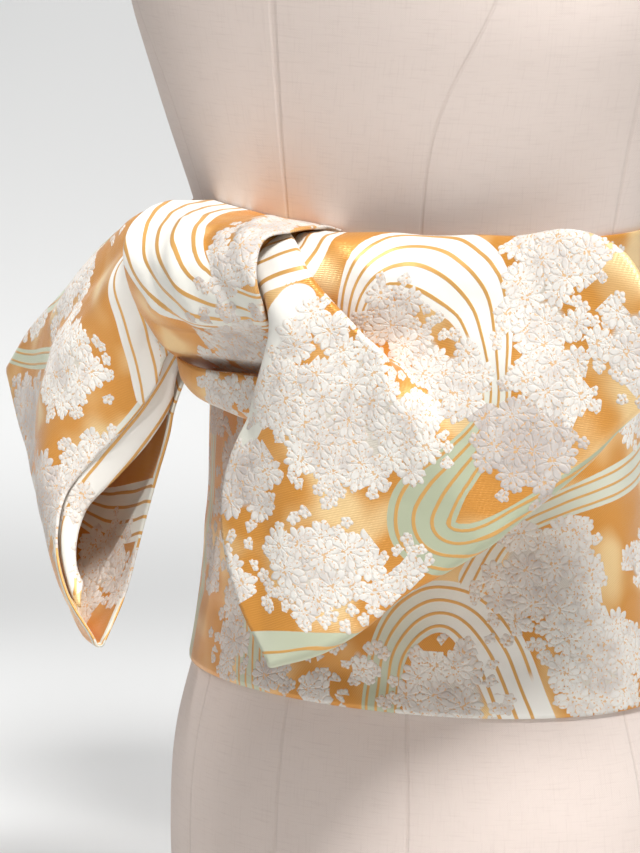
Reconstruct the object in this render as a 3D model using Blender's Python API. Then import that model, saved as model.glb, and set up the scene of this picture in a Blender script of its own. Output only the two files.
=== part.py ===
"""Obi sash wound round a limbless dress form and tied at the back in a wide drooping bow.

Frame: metres, +Z up, +Y to the back of the wearer (the side with the bow), +X to the wearer's left.
The origin is on the torso's axis at the flat base of the dress form.
Every stretch of the obi is a thin closed wall, worked out from a grid of points in its middle plane.
"""
import math

import bmesh
import bpy
import numpy as np

# ---------------------------------------------------------------- driving sizes (metres)
CLOTH = 0.0020          # thickness of the brocade, two woven faces together
SEAM_GAP = 0.0003       # clearance between pieces that touch
FACET_EASE = 0.0005     # more of it where flat facets meet across a curve

FORM_HEIGHT = 0.80      # neck top above the base
BUST_Z = 0.535
BUST_ANGLE = 27.0       # degrees from the front centre to each bust point
BUST_RISE = 0.022
FORM_SIDES = 44         # points round each section of the form
FORM_RINGS = 38

WRAP_RIM_Z = 0.403
WRAP_HEM_Z = 0.158
WRAP_GAP = 0.0006       # clearance between the dress form and the wrap
WRAP_EASE = 0.0035      # how far the wrap bridges the hollow of the waist
WRAP_SIDES = 56
WRAP_RINGS = 10

KNOT_HALF = 0.0410      # half length of the gathered core along X
ROOT_X = 0.0421         # where the wings' cloth starts, just outside the core
BACK_ROOT_MIDDLE = (0.114, 0.366)   # y and z of the middle of each back layer's root
LEFT_BILLOW = 0.002     # how far the left wing's front layer swells outwards
RIGHT_DIP = 0.012       # how far the right wing's front layer hollows in

PLEAT_RADIUS = 0.0024   # bend radius at the pleat's two folds
PLEAT_SOFTENS = 0.012   # length over which each fold opens out where the pleat fades
END_FOLD = 0.0042       # bend radius of the fold at the end of each wing, at its upper corner
TIP_FOLD = 0.0024       # the same at the lower tip

# ---------------------------------------------------------------- tables
# Sections of the dress form: height, half width, depth to the back and to the front of the
# widest line, how far back the widest line lies, and how square the section is (2 = ellipse).
FORM_COLUMNS = ("height", "half_width", "back", "front", "widest_y", "squareness")
FORM_SECTIONS = (
    (0.000, 0.157, 0.107, 0.106, 0.000, 2.0),
    (0.060, 0.159, 0.109, 0.108, 0.000, 2.0),
    (0.090, 0.159, 0.108, 0.107, 0.000, 2.0),
    (0.115, 0.157, 0.106, 0.106, 0.000, 2.0),
    (0.139, 0.150, 0.103, 0.103, 0.000, 2.0),
    (0.160, 0.143, 0.098, 0.099, 0.000, 2.0),
    (0.190, 0.136, 0.093, 0.095, 0.000, 2.0),
    (0.217, 0.131, 0.090, 0.092, 0.000, 2.0),
    (0.250, 0.127, 0.087, 0.090, 0.000, 2.0),
    (0.300, 0.126, 0.086, 0.089, 0.000, 2.0),
    (0.340, 0.125, 0.085, 0.089, 0.000, 2.0),
    (0.400, 0.137, 0.094, 0.097, 0.004, 2.0),
    (0.450, 0.151, 0.096, 0.107, 0.008, 2.3),
    (0.510, 0.172, 0.096, 0.118, 0.013, 2.5),
    (0.560, 0.178, 0.098, 0.120, 0.014, 2.6),
    (0.610, 0.179, 0.096, 0.112, 0.013, 2.7),
    (0.650, 0.180, 0.088, 0.096, 0.012, 2.7),
    (0.680, 0.172, 0.078, 0.082, 0.010, 2.5),
    (0.700, 0.148, 0.071, 0.072, 0.008, 2.3),
    (0.715, 0.110, 0.066, 0.064, 0.006, 2.1),
    (0.730, 0.078, 0.061, 0.058, 0.004, 2.0),
    (0.750, 0.063, 0.056, 0.054, 0.002, 2.0),
    (0.800, 0.058, 0.052, 0.050, 0.000, 2.0),
)

# Edges of the bow's layers, as places from the knot outwards: x, y, z.
RIGHT_UPPER = (
    (-ROOT_X, 0.118, 0.406), (-0.056, 0.121, 0.406), (-0.072, 0.116, 0.407), (-0.088, 0.107, 0.409),
    (-0.113, 0.095, 0.409), (-0.151, 0.084, 0.411), (-0.193, 0.073, 0.413), (-0.217, 0.068, 0.401),
    (-0.230, 0.066, 0.370), (-0.230, 0.069, 0.338),
)
RIGHT_LOWER = (
    (-ROOT_X, 0.143, 0.360), (-0.0575, 0.156, 0.361), (-0.0560, 0.163, 0.351),
    (-0.048, 0.165, 0.333), (-0.036, 0.166, 0.309), (-0.028, 0.170, 0.283), (-0.028, 0.172, 0.263),
    (-0.037, 0.175, 0.239), (-0.052, 0.176, 0.211), (-0.066, 0.175, 0.193),
)
RIGHT_END = (
    (-0.230, 0.069, 0.338), (-0.204, 0.084, 0.306), (-0.161, 0.112, 0.262), (-0.124, 0.135, 0.231),
    (-0.095, 0.157, 0.206), (-0.066, 0.175, 0.193),
)
RIGHT_ROOT = (
    (-ROOT_X, 0.118, 0.406), (-ROOT_X, 0.140, 0.407), (-ROOT_X, 0.156, 0.3995),
    (-ROOT_X, 0.161, 0.386), (-ROOT_X, 0.155, 0.371), (-ROOT_X, 0.143, 0.360),
)
LEFT_UPPER = (
    (ROOT_X, 0.124, 0.402), (0.072, 0.127, 0.406), (0.102, 0.118, 0.396), (0.127, 0.113, 0.382),
    (0.178, 0.097, 0.348), (0.216, 0.086, 0.322), (0.235, 0.084, 0.301),
)
LEFT_LOWER = (
    (ROOT_X, 0.129, 0.345), (0.051, 0.134, 0.337), (0.058, 0.138, 0.318), (0.075, 0.147, 0.293),
    (0.094, 0.152, 0.275), (0.106, 0.157, 0.258), (0.106, 0.163, 0.234), (0.092, 0.168, 0.207),
    (0.069, 0.168, 0.183),
)
LEFT_END = (
    (0.235, 0.084, 0.301), (0.210, 0.096, 0.273), (0.178, 0.112, 0.242), (0.142, 0.131, 0.215),
    (0.119, 0.143, 0.196), (0.094, 0.155, 0.184), (0.069, 0.168, 0.183),
)
LEFT_ROOT = (
    (ROOT_X, 0.124, 0.402), (ROOT_X, 0.144, 0.400), (ROOT_X, 0.156, 0.386),
    (ROOT_X, 0.147, 0.361), (ROOT_X, 0.129, 0.345),
)
# Free lower edge of the left wing's second layer, which shows below the first.
LEFT_INNER_LOWER = (
    (ROOT_X, 0.123, 0.343), (0.051, 0.126, 0.331), (0.059, 0.128, 0.304), (0.066, 0.134, 0.289),
    (0.083, 0.142, 0.268), (0.099, 0.150, 0.249), (0.098, 0.158, 0.224), (0.083, 0.161, 0.206),
)
# Back layers of the two loops, towards the body.
LEFT_BACK_UPPER = (
    (ROOT_X, 0.112, 0.394), (0.101, 0.096, 0.383), (0.152, 0.081, 0.358), (0.202, 0.076, 0.329),
    (0.235, 0.084, 0.301),
)
LEFT_BACK_LOWER = (
    (ROOT_X, 0.114, 0.345), (0.052, 0.122, 0.322), (0.060, 0.128, 0.294), (0.066, 0.131, 0.267),
    (0.073, 0.137, 0.235), (0.075, 0.147, 0.206), (0.069, 0.168, 0.183),
)
RIGHT_BACK_UPPER = (
    (-ROOT_X, 0.106, 0.394), (-0.100, 0.086, 0.394), (-0.160, 0.070, 0.396), (-0.212, 0.058, 0.384),
    (-0.228, 0.062, 0.360), (-0.230, 0.069, 0.338),
)
RIGHT_BACK_LOWER = (
    (-ROOT_X, 0.114, 0.345), (-0.049, 0.121, 0.322), (-0.053, 0.126, 0.294), (-0.056, 0.130, 0.267),
    (-0.060, 0.136, 0.235), (-0.064, 0.148, 0.211), (-0.066, 0.175, 0.193),
)

# The right wing's big pleat, from the knot outwards: share of the way out, share of the width
# at which its edge lies, how far its cloth is folded back (1 = fully back, 0 = flat), and the
# length of cloth hidden in it between its two folds.
PLEAT_COLUMNS = ("out", "edge", "folded", "hidden")
PLEAT_ROWS = (
    (0.00, 0.22, 0.99, 0.004), (0.05, 0.3, 0.99, 0.006), (0.11, 0.42, 0.98, 0.010),
    (0.16, 0.5, 0.96, 0.018), (0.25, 0.505, 0.90, 0.030), (0.40, 0.478, 0.84, 0.028),
    (0.52, 0.466, 0.72, 0.014), (0.61, 0.465, 0.40, 0.003), (0.70, 0.45, 0.14, 0.000),
    (0.80, 0.43, 0.00, 0.000), (1.00, 0.43, 0.00, 0.000),
)

# The tie, from the body over the knot and under it. Each row is one line across the band: its
# height at the left and the right, how far back its left, middle and right stand, and its ends.
TIE_COLUMNS = ("z_left", "z_right", "y_left", "y_middle", "y_right", "x_left", "x_right")
TIE_ROWS = (
    (0.410, 0.4045, 0.104, 0.104, 0.104, 0.064, -0.037),
    (0.411, 0.4100, 0.125, 0.127, 0.125, 0.064, -0.052),
    (0.408, 0.411, 0.145, 0.150, 0.148, 0.058, -0.055),
    (0.400, 0.406, 0.161, 0.167, 0.165, 0.052, -0.052),
    (0.387, 0.395, 0.166, 0.176, 0.171, 0.050, -0.054),
    (0.373, 0.381, 0.163, 0.177, 0.171, 0.049, -0.056),
    (0.353, 0.366, 0.151, 0.168, 0.163, 0.048, -0.054),
    (0.341, 0.350, 0.141, 0.149, 0.149, 0.048, -0.050),
    (0.334, 0.338, 0.131, 0.134, 0.136, 0.046, -0.047),
    (0.332, 0.333, 0.122, 0.124, 0.126, 0.043, -0.044),
)

# The sling under the knot, from its left end to its right: its lip, its belly and its underside.
SLING_LIP = (
    (0.0445, 0.134, 0.329), (0.033, 0.139, 0.329), (0.007, 0.144, 0.332), (-0.013, 0.146, 0.333),
    (-0.040, 0.147, 0.333),
)
SLING_BELLY = (
    (0.0445, 0.131, 0.323), (0.029, 0.138, 0.319), (0.010, 0.142, 0.317), (-0.008, 0.143, 0.314),
    (-0.040, 0.141, 0.311),
)
SLING_UNDER = (
    (0.043, 0.113, 0.321), (0.025, 0.118, 0.312), (0.005, 0.120, 0.308), (-0.015, 0.120, 0.305),
    (-0.040, 0.118, 0.304),
)


# ---------------------------------------------------------------- curves and surfaces
def by_column(names, rows):
    """A table's columns by their names."""
    return dict(zip(names, np.array(rows).T))


def smooth(x):
    """0 to 1, with level ends."""
    x = np.clip(x, 0.0, 1.0)
    return x * x * (3.0 - 2.0 * x)


def curve(points, count):
    """A smooth curve through the points, as count + 1 places evenly spaced along it."""
    p = np.asarray(points, float)
    if len(p) == 2:
        return p[0] + (p[1] - p[0]) * np.linspace(0, 1, count + 1)[:, None]
    step = np.linalg.norm(np.diff(p, axis=0), axis=1)
    at = np.concatenate([[0], np.cumsum(step)])
    slope = np.gradient(p, at, axis=0)
    dense = np.linspace(0, at[-1], 40 * len(p))
    k = np.clip(np.searchsorted(at, dense, side="right") - 1, 0, len(p) - 2)
    h = step[k]
    f = ((dense - at[k]) / h)[:, None]
    h = h[:, None]
    line = (
        (1 + 2 * f) * (1 - f) ** 2 * p[k] + f * (1 - f) ** 2 * h * slope[k]
        + f * f * (3 - 2 * f) * p[k + 1] + f * f * (f - 1) * h * slope[k + 1]
    )
    return respaced(line, np.linspace(0, 1, count + 1))


def respaced(line, where):
    """Places on a polyline at the given shares of its length."""
    run = np.concatenate([[0], np.cumsum(np.linalg.norm(np.diff(line, axis=0), axis=1))])
    run /= run[-1]
    return np.stack([np.interp(where, run, line[:, c]) for c in range(line.shape[1])], axis=1)


def patch(upper, lower, root, end, rows, across):
    """A surface that fills four edges: rows run from root to end, columns from upper to lower.

    across gives the number of columns, or the share of the width at which each column lies.
    """
    across = np.linspace(0, 1, across + 1) if isinstance(across, int) else np.asarray(across)
    u = np.linspace(0, 1, rows + 1)[:, None, None]
    v = across[None, :, None]
    top = curve(upper, rows)[:, None]
    low = curve(lower, rows)[:, None]
    near = respaced(curve(root, 60), across)[None]
    far = respaced(curve(end, 60), across)[None]
    corners = (
        (1 - u) * (1 - v) * near[:, :1] + (1 - u) * v * near[:, -1:]
        + u * (1 - v) * far[:, :1] + u * v * far[:, -1:]
    )
    return (1 - v) * top + v * low + (1 - u) * near + u * far - corners


def normals(grid, closed=False):
    """Unit normals of a grid of points, rows by columns."""
    if closed:
        across = np.roll(grid, -1, axis=1) - np.roll(grid, 1, axis=1)
    else:
        across = np.gradient(grid, axis=1)
    n = np.cross(np.gradient(grid, axis=0), across)
    return n / np.maximum(np.linalg.norm(n, axis=2, keepdims=True), 1e-12)


def bulged(grid, rise, power=1.0):
    """The grid billowed along its normals, most in the middle and not at its edges."""
    rows, columns = grid.shape[:2]
    u = np.sin(np.pi * np.linspace(0, 1, rows)) ** power
    v = np.sin(np.pi * np.linspace(0, 1, columns))
    return grid + rise * u[:, None, None] * v[None, :, None] * normals(grid)


# ---------------------------------------------------------------- solids
def solid(name, points, faces, colour, roughness):
    """One named object from points and faces, with its own material."""
    mesh = bpy.data.meshes.new(name)
    work = bmesh.new()
    corners = [work.verts.new(p) for p in points]
    for face in faces:
        work.faces.new([corners[i] for i in face])
    bmesh.ops.recalc_face_normals(work, faces=work.faces)
    bmesh.ops.triangulate(work, faces=work.faces)
    work.to_mesh(mesh)
    work.free()
    mesh.shade_smooth()
    mesh.set_sharp_from_angle(angle=math.radians(40))
    finish = bpy.data.materials.new(name)
    finish.use_nodes = True
    shader = finish.node_tree.nodes["Principled BSDF"]
    shader.inputs["Base Color"].default_value = (*colour, 1.0)
    shader.inputs["Roughness"].default_value = roughness
    mesh.materials.append(finish)
    thing = bpy.data.objects.new(name, mesh)
    bpy.context.scene.collection.objects.link(thing)
    return thing


def wall(name, grid, colour, closed=False):
    """A wall of cloth round a grid in its middle plane; closed joins the last column to the first."""
    rows, columns = grid.shape[:2]
    n = normals(grid, closed)
    sides = np.concatenate([grid + n * CLOTH / 2, grid - n * CLOTH / 2]).reshape(-1, 3)
    front = np.arange(rows * columns).reshape(rows, columns)
    back = front + rows * columns
    faces = []
    last = columns if closed else columns - 1
    for i in range(rows - 1):
        for j in range(last):
            k = (j + 1) % columns
            faces.append((front[i, j], front[i + 1, j], front[i + 1, k], front[i, k]))
            faces.append((back[i, j], back[i, k], back[i + 1, k], back[i + 1, j]))
    for j in range(last):
        k = (j + 1) % columns
        faces.append((front[0, j], front[0, k], back[0, k], back[0, j]))
        faces.append((front[-1, k], front[-1, j], back[-1, j], back[-1, k]))
    if not closed:
        for i in range(rows - 1):
            faces.append((front[i + 1, 0], front[i, 0], back[i, 0], back[i + 1, 0]))
            faces.append((front[i, -1], front[i + 1, -1], back[i + 1, -1], back[i, -1]))
    return solid(name, sides, faces, colour, 0.45)


def filled(name, rings, colour, roughness):
    """A solid body through closed rings, flat at its first and last ring."""
    count, sides = rings.shape[:2]
    index = np.arange(count * sides).reshape(count, sides)
    faces = [tuple(index[0][::-1]), tuple(index[-1])]
    for i in range(count - 1):
        for j in range(sides):
            k = (j + 1) % sides
            faces.append((index[i, j], index[i, k], index[i + 1, k], index[i + 1, j]))
    return solid(name, rings.reshape(-1, 3), faces, colour, roughness)


# ---------------------------------------------------------------- dress form and wrap
def form_section(z, angles):
    """The dress form's outline at a height: angle 0 at +X, a quarter turn at the back."""
    table = by_column(FORM_COLUMNS, FORM_SECTIONS)
    width, back, front, widest, square = (
        np.interp(z, table["height"], table[name]) for name in FORM_COLUMNS[1:]
    )
    c, s = np.cos(angles), np.sin(angles)
    x = width * np.sign(c) * np.abs(c) ** (2 / square)
    y = np.sign(s) * np.abs(s) ** (2 / square) * np.where(s > 0, back, front)
    off_centre = np.degrees(np.abs(angles - 1.5 * np.pi)) - BUST_ANGLE
    bust = BUST_RISE * np.exp(-(off_centre / 17) ** 2) * np.exp(-((z - BUST_Z) / 0.045) ** 2)
    return np.stack([x, y + widest - bust, np.full_like(x, z)], axis=1)


def even_angles(count):
    return np.arange(count) * 2 * np.pi / count


def smooth_sections(heights, angles):
    """Sections at the heights, eased along the height so that the table's rows don't show."""
    spread = np.linspace(-0.014, 0.014, 5)
    sections = []
    for z in heights:
        near = [form_section(min(max(z + dz, 0.0), FORM_HEIGHT), angles) for dz in spread]
        section = np.mean(near, axis=0)
        section[:, 2] = z
        sections.append(section)
    return np.array(sections)


def dress_form():
    body = np.linspace(0.0, 0.64, FORM_RINGS - 12)
    shoulders = np.linspace(0.64, FORM_HEIGHT - 0.004, 12)[1:]
    heights = np.concatenate([body, shoulders])
    rings = smooth_sections(heights, even_angles(FORM_SIDES))
    cap = rings[-1] * (0.93, 0.93, 1.0)
    cap[:, 2] = FORM_HEIGHT
    return filled("dress_form", np.concatenate([rings, cap[None]]), (0.72, 0.62, 0.52), 0.85)


def wrap_grid(rings, sides):
    """Middle plane of the turn round the body: on the form at rim and hem, eased off at the waist."""
    heights = np.linspace(WRAP_RIM_Z, WRAP_HEM_Z, rings + 1)
    grid = smooth_sections(heights, even_angles(sides))
    outward = np.cross(
        np.roll(grid, -1, axis=1) - np.roll(grid, 1, axis=1), np.array([0.0, 0.0, 1.0])
    )
    outward /= np.linalg.norm(outward, axis=2, keepdims=True)
    share = (heights - WRAP_HEM_Z) / (WRAP_RIM_Z - WRAP_HEM_Z)
    ease = WRAP_EASE * np.sin(np.pi * share)[:, None, None]
    return grid + outward * (CLOTH / 2 + WRAP_GAP + ease)


def back_line(z, x, skin=0.0):
    """How far back the dress form reaches at a height and a place across, plus a skin over it."""
    ring = smooth_sections([z], np.linspace(0.02, np.pi - 0.02, 121))[0]
    tangent = np.gradient(ring[:, :2], axis=0)
    outward = np.stack([tangent[:, 1], -tangent[:, 0]], axis=1)
    outward /= np.linalg.norm(outward, axis=1, keepdims=True)
    ring = ring[:, :2] + outward * skin
    return float(np.interp(x, ring[::-1, 0], ring[::-1, 1]))


def wrap_skin(z):
    """Distance from the dress form to the outer face of the wrap at a height."""
    share = (z - WRAP_HEM_Z) / (WRAP_RIM_Z - WRAP_HEM_Z)
    return WRAP_GAP + CLOTH + WRAP_EASE * math.sin(math.pi * share)


# ---------------------------------------------------------------- tie, core and sling
def tie_grid(rows, columns):
    """The tie: each row of its table is a line across the band, bowed out in its middle."""
    v = np.linspace(0, 1, columns + 1)
    lines = []
    for row in TIE_ROWS:
        at = dict(zip(TIE_COLUMNS, row))
        bow = at["y_middle"] - (at["y_left"] + at["y_right"]) / 2
        x = at["x_left"] + (at["x_right"] - at["x_left"]) * v
        y = at["y_left"] + (at["y_right"] - at["y_left"]) * v + bow * np.sin(np.pi * v) ** 0.8
        z = at["z_left"] + (at["z_right"] - at["z_left"]) * v
        lines.append(np.stack([x, y, z], axis=1))
    for k, x in enumerate(lines[0][:, 0]):
        lines[0][k, 1] = back_line(lines[0][k, 2], x) + SEAM_GAP + FACET_EASE
    lines = np.array(lines)
    return np.stack([curve(lines[:, c], rows) for c in range(columns + 1)], axis=1)


def knot_core(tie, sections=8, sides=26):
    """The gathered cloth inside the tie: from the wrap's outer face to the inside of the tie."""
    rings = []
    for x in np.linspace(KNOT_HALF, -KNOT_HALF, sections + 1):
        line = []
        for row in tie[2:-1]:
            order = np.argsort(row[:, 0])
            line.append([np.interp(x, row[order, 0], row[order, c]) for c in (1, 2)])
        line = np.array(line)
        tangent = np.gradient(line, axis=0)
        inward = np.stack([tangent[:, 1], -tangent[:, 0]], axis=1)
        inward /= np.linalg.norm(inward, axis=1, keepdims=True)
        line = line + inward * (CLOTH / 2 + SEAM_GAP + FACET_EASE)
        low, high = line[:, 1].min(), line[:, 1].max()
        back = [
            (back_line(z, x, wrap_skin(z)) + SEAM_GAP + FACET_EASE, z)
            for z in np.linspace(low + 0.004, high - 0.008, 6)
        ]
        ring = respaced(np.concatenate([line, back, line[:1]]), np.linspace(0, 1, sides + 1))[:-1]
        rings.append(np.column_stack([np.full(sides, x), ring]))
    return np.array(rings)


def sling_grid():
    """A crescent-shaped fold: lip, belly, underside and an edge tucked in against the wrap."""
    lines = [curve(p, 14) for p in (SLING_LIP, SLING_BELLY, SLING_UNDER)]
    tucked = lines[-1].copy()
    for place in tucked:
        place[2] += 0.001
        place[1] = back_line(place[2], place[0], wrap_skin(place[2])) + SEAM_GAP + FACET_EASE
    lines.append(tucked)
    return np.stack([curve([line[i] for line in lines], 7) for i in range(15)], axis=0)


# ---------------------------------------------------------------- wings of the bow
def pleated(grid, columns):
    """The right wing's front layer with its big pleat: the lower part laps over the upper part.

    At each row the cloth is followed by its length: towards the lower edge, back up behind
    itself and down again. The folds open out and vanish as they run towards the wing's end.
    """
    table = by_column(PLEAT_COLUMNS, PLEAT_ROWS)
    n = -normals(grid)
    rows = []
    for i, u in enumerate(np.linspace(0, 1, len(grid))):
        edge, folded, back = (np.interp(u, table["out"], table[name]) for name in PLEAT_COLUMNS[1:])
        section = grid[i]
        run = np.concatenate([[0], np.cumsum(np.linalg.norm(np.diff(section, axis=0), axis=1))])
        width = run[-1]
        back += 0.008 * (1 - folded)
        angle = math.pi * folded
        turn = PLEAT_RADIUS * angle + PLEAT_SOFTENS * (1 - folded) ** 2
        first = np.linspace(0, angle, 9)
        bend = np.concatenate([first, np.full(8, angle), first[::-1]])
        step = np.concatenate([np.full(9, turn / 9), np.full(8, back / 8), np.full(9, turn / 9)])
        along = np.concatenate([[0], np.cumsum(np.cos(bend) * step)])
        rise = np.concatenate([[0], np.cumsum(np.sin(bend) * step)])
        start = edge * width - along.min()
        along = along + start
        depth = rise[-1]
        upper = np.linspace(0, start, columns[0] + 1)[:-1]
        upper_rise = -depth * smooth(upper / start)
        fold_at = np.round(np.linspace(0, len(along) - 1, columns[1] + 1)).astype(int)
        lower = np.linspace(along[-1], width, columns[2] + 1)[1:]
        s = np.concatenate([upper, along[fold_at], lower])
        h = np.concatenate([upper_rise, rise[fold_at] - depth, np.zeros(columns[2])])
        place = np.stack([np.interp(s, run, section[:, c]) for c in range(3)], axis=1)
        facing = np.stack([np.interp(s, run, n[i, :, c]) for c in range(3)], axis=1)
        rows.append(place + facing * h[:, None])
    rows = np.array(rows)
    rows[1:-1] = (rows[:-2] + 2 * rows[1:-1] + rows[2:]) / 4
    return rows


def loop(front, back, side):
    """Front and back layer of a wing, joined round the soft fold at its end.

    side is 1 where the front layer's normals point away from the back layer, else -1.
    """
    radius = np.linspace(END_FOLD, TIP_FOLD, front.shape[1])[:, None]
    edge = np.gradient(front[-1], axis=0)
    edge /= np.linalg.norm(edge, axis=1, keepdims=True)
    outward = front[-1] - front[-4]
    outward /= np.linalg.norm(outward, axis=1, keepdims=True)
    arriving = back[-1] - back[-3]
    outward += arriving / np.linalg.norm(arriving, axis=1, keepdims=True)
    outward -= (outward * edge).sum(axis=1, keepdims=True) * edge
    outward /= np.linalg.norm(outward, axis=1, keepdims=True)
    apart = np.cross(outward, edge) * side
    centre = front[-1] - outward * (radius + CLOTH / 2)
    for layer, sign in ((front, 1), (back, -1)):
        shift = centre + apart * radius * sign - layer[-1]
        share = np.linspace(0, 1, len(layer))[:, None, None]
        layer += shift * smooth((share - 0.4) / 0.6)
    turn = [
        centre + radius * (apart * math.cos(a) + outward * math.sin(a))
        for a in np.radians((36, 72, 108, 144))
    ]
    return np.concatenate([front, np.array(turn), back[::-1]])


def left_front(rows=16, columns=14):
    return bulged(patch(LEFT_UPPER, LEFT_LOWER, LEFT_ROOT, LEFT_END, rows, columns), LEFT_BILLOW)


def left_inner():
    """Second layer of the left wing: close under the first, and out below its free edge."""
    outer = left_front(32, 28)
    under = outer[:, 16:] - normals(outer)[:, 16:] * (CLOTH + SEAM_GAP + FACET_EASE)
    free = curve(LEFT_INNER_LOWER, 20)
    rows = []
    for i in range(0, 29, 2):
        share = i / 30
        tail = np.array([np.interp(share * 20, np.arange(21), free[:, c]) for c in range(3)])
        rows.append(np.concatenate([under[i][::2], (under[i][-1] + tail)[None] / 2, tail[None]]))
    return np.array(rows)


def wing_left():
    root = (LEFT_BACK_UPPER[0], (ROOT_X, *BACK_ROOT_MIDDLE), LEFT_BACK_LOWER[0])
    back = patch(LEFT_BACK_UPPER, LEFT_BACK_LOWER, root, LEFT_END, 10, 14)
    return loop(left_front(), back, 1)


def wing_right():
    root = (RIGHT_BACK_UPPER[0], (-ROOT_X, *BACK_ROOT_MIDDLE), RIGHT_BACK_LOWER[0])
    folds = (8, 10, 10)
    front = patch(RIGHT_UPPER, RIGHT_LOWER, RIGHT_ROOT, RIGHT_END, 20, 40)
    front = pleated(bulged(front, -RIGHT_DIP, 1.5), folds)
    steps = np.linalg.norm(np.diff(front[-1], axis=0), axis=1)
    across = np.concatenate([[0], np.cumsum(steps)]) / steps.sum()
    back = patch(RIGHT_BACK_UPPER, RIGHT_BACK_LOWER, root, RIGHT_END, 10, across)
    return loop(front, back, -1)


def clear_scene():
    for thing in list(bpy.data.objects):
        bpy.data.objects.remove(thing)


clear_scene()
dress_form()
tie = tie_grid(20, 10)
wall("obi_wrap", wrap_grid(WRAP_RINGS, WRAP_SIDES), (0.80, 0.62, 0.36), closed=True)
filled("obi_knot", knot_core(tie), (0.80, 0.62, 0.36), 0.45)
wall("obi_tie", tie, (0.85, 0.70, 0.45))
wall("obi_sling", sling_grid(), (0.85, 0.70, 0.45))
wall("obi_wing_left", wing_left(), (0.85, 0.70, 0.45))
wall("obi_wing_left_inner", left_inner(), (0.85, 0.70, 0.45))
wall("obi_wing_right", wing_right(), (0.85, 0.70, 0.45))
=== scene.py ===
"""Looks of the obi sash: woven silk shells on the forms of the solids, and the linen dress form.

Frame: metres, +Z up, +Y to the back of the wearer (the side with the bow), +X to the wearer's left.
Each stretch of silk is a grid of places in its middle plane, laid flat once to give its UV map in
metres, creased, and then given its thickness. What lies on the flat cloth, its pattern and
its creases, is in tables in millimetres.
"""
import math

import bmesh
import bpy
import numpy as np
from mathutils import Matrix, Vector


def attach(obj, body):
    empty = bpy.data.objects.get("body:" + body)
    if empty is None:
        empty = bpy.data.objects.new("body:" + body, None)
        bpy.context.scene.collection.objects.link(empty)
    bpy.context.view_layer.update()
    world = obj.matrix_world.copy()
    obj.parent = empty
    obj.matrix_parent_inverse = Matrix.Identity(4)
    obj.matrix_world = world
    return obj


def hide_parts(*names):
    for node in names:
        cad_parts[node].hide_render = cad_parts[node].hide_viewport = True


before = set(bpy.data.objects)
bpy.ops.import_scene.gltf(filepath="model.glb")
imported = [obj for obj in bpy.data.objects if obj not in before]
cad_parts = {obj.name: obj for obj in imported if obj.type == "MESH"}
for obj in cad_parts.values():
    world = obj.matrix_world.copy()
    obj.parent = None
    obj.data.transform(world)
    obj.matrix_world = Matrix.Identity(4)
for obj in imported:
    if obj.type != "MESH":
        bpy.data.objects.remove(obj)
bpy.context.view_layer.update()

# ---------------- driving sizes (metres)
CLOTH = 0.0020          # thickness of the brocade, two woven faces together
SEAM_GAP = 0.0003       # clearance between pieces that touch
FACET_EASE = 0.0005     # more of it where a piece follows another round a curve
EDGE_SHARE = 0.5        # thickness of the pressed edges, as a share of the cloth's
KNOT_HALF = 0.0410      # half length of the gathered core along X
ROOT_X = 0.0421         # where the wings' cloth starts, just outside the core
BACK_ROOT_MIDDLE = (0.114, 0.366)   # y and z of the middle of each back layer's root
LEFT_BILLOW = 0.002     # how far the left wing's front layer swells outwards
RIGHT_DIP = 0.012       # how far the right wing's front layer hollows in

FORM_HEIGHT = 0.80
FORM_TOP_EDGE = 0.004   # how far below that height the linen ends
SECTION_EASE = 0.014    # heights within this of a section are averaged with it
BUST_Z = 0.535
BUST_ANGLE = 27.0       # degrees from the front centre to each bust point
BUST_RISE = 0.022
BUST_SPREAD = (17, 0.045)   # degrees round and metres up over which the bust fades
WRAP_RIM_Z = 0.403
WRAP_HEM_Z = 0.158
WRAP_GAP = 0.0006       # clearance between the dress form and the wrap
WRAP_EASE = 0.0035      # how far the wrap bridges the hollow of the waist

PLEAT_RADIUS = 0.0024   # bend radius at the pleat's two folds
PLEAT_SOFTENS = 0.012   # length over which each fold opens out where the pleat fades
PLEAT_SPARE = 0.008     # cloth between the two folds where the pleat has run out
END_FOLD = 0.0042       # bend radius of the fold at the end of each wing, at its upper corner
TIP_FOLD = 0.0024       # the same at the lower tip
STRAIGHT_SHARE = 0.4    # share of a wing's length, from its root, that its end fold leaves in place

TIE_BOW = 0.8           # power of the sine arch that the tie bows out in: less is fuller
SLING_TUCK = 0.001      # rise of the sling's hidden edge
GATHER = 0.07           # depth of the knot's gathers, as a share of its radius
GATHERS = ((0.3, 11, 0.0), (0.2, 7, 1.3))   # share, number round the knot and turn of each set
TIE_ROOM = 0.0025       # room between the knot and the tie for the tie's own troughs
TIE_OVER_KNOT = slice(10, -5)               # the tie's grid rows that the knot follows
KNOT_BACK = (0.004, 0.008)                  # its back stops this far from its lowest and highest place
KNOT_BACK_PLACES = 6
KNOT_END_RINGS = (0.06, 0.35, 0.65, 0.90)   # sizes of the rings that close in each end

# Grid steps along and across each piece.
FORM_MESH = (170, 240)
WRAP_MESH = (100, 330)
TIE_MESH = (84, 76)
SLING_MESH = (44, 32)
KNOT_MESH = (16, 110)
LEFT_MESH = (96, 84)
LEFT_BACK_ROWS = 60
RIGHT_MESH = (100, 120)
RIGHT_BACK_ROWS = 70
BESIDE_PLEAT = (44, 50)     # columns above and below the pleat
TURN_STEPS = 9              # steps round each fold
LAP_STEPS = 8               # steps between the pleat's two folds
PLEAT_EASING = 25           # rounds of easing along the pleat
LEFT_TRIMMED_ROWS = 160     # all but those nearest the knot on the back layer

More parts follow.
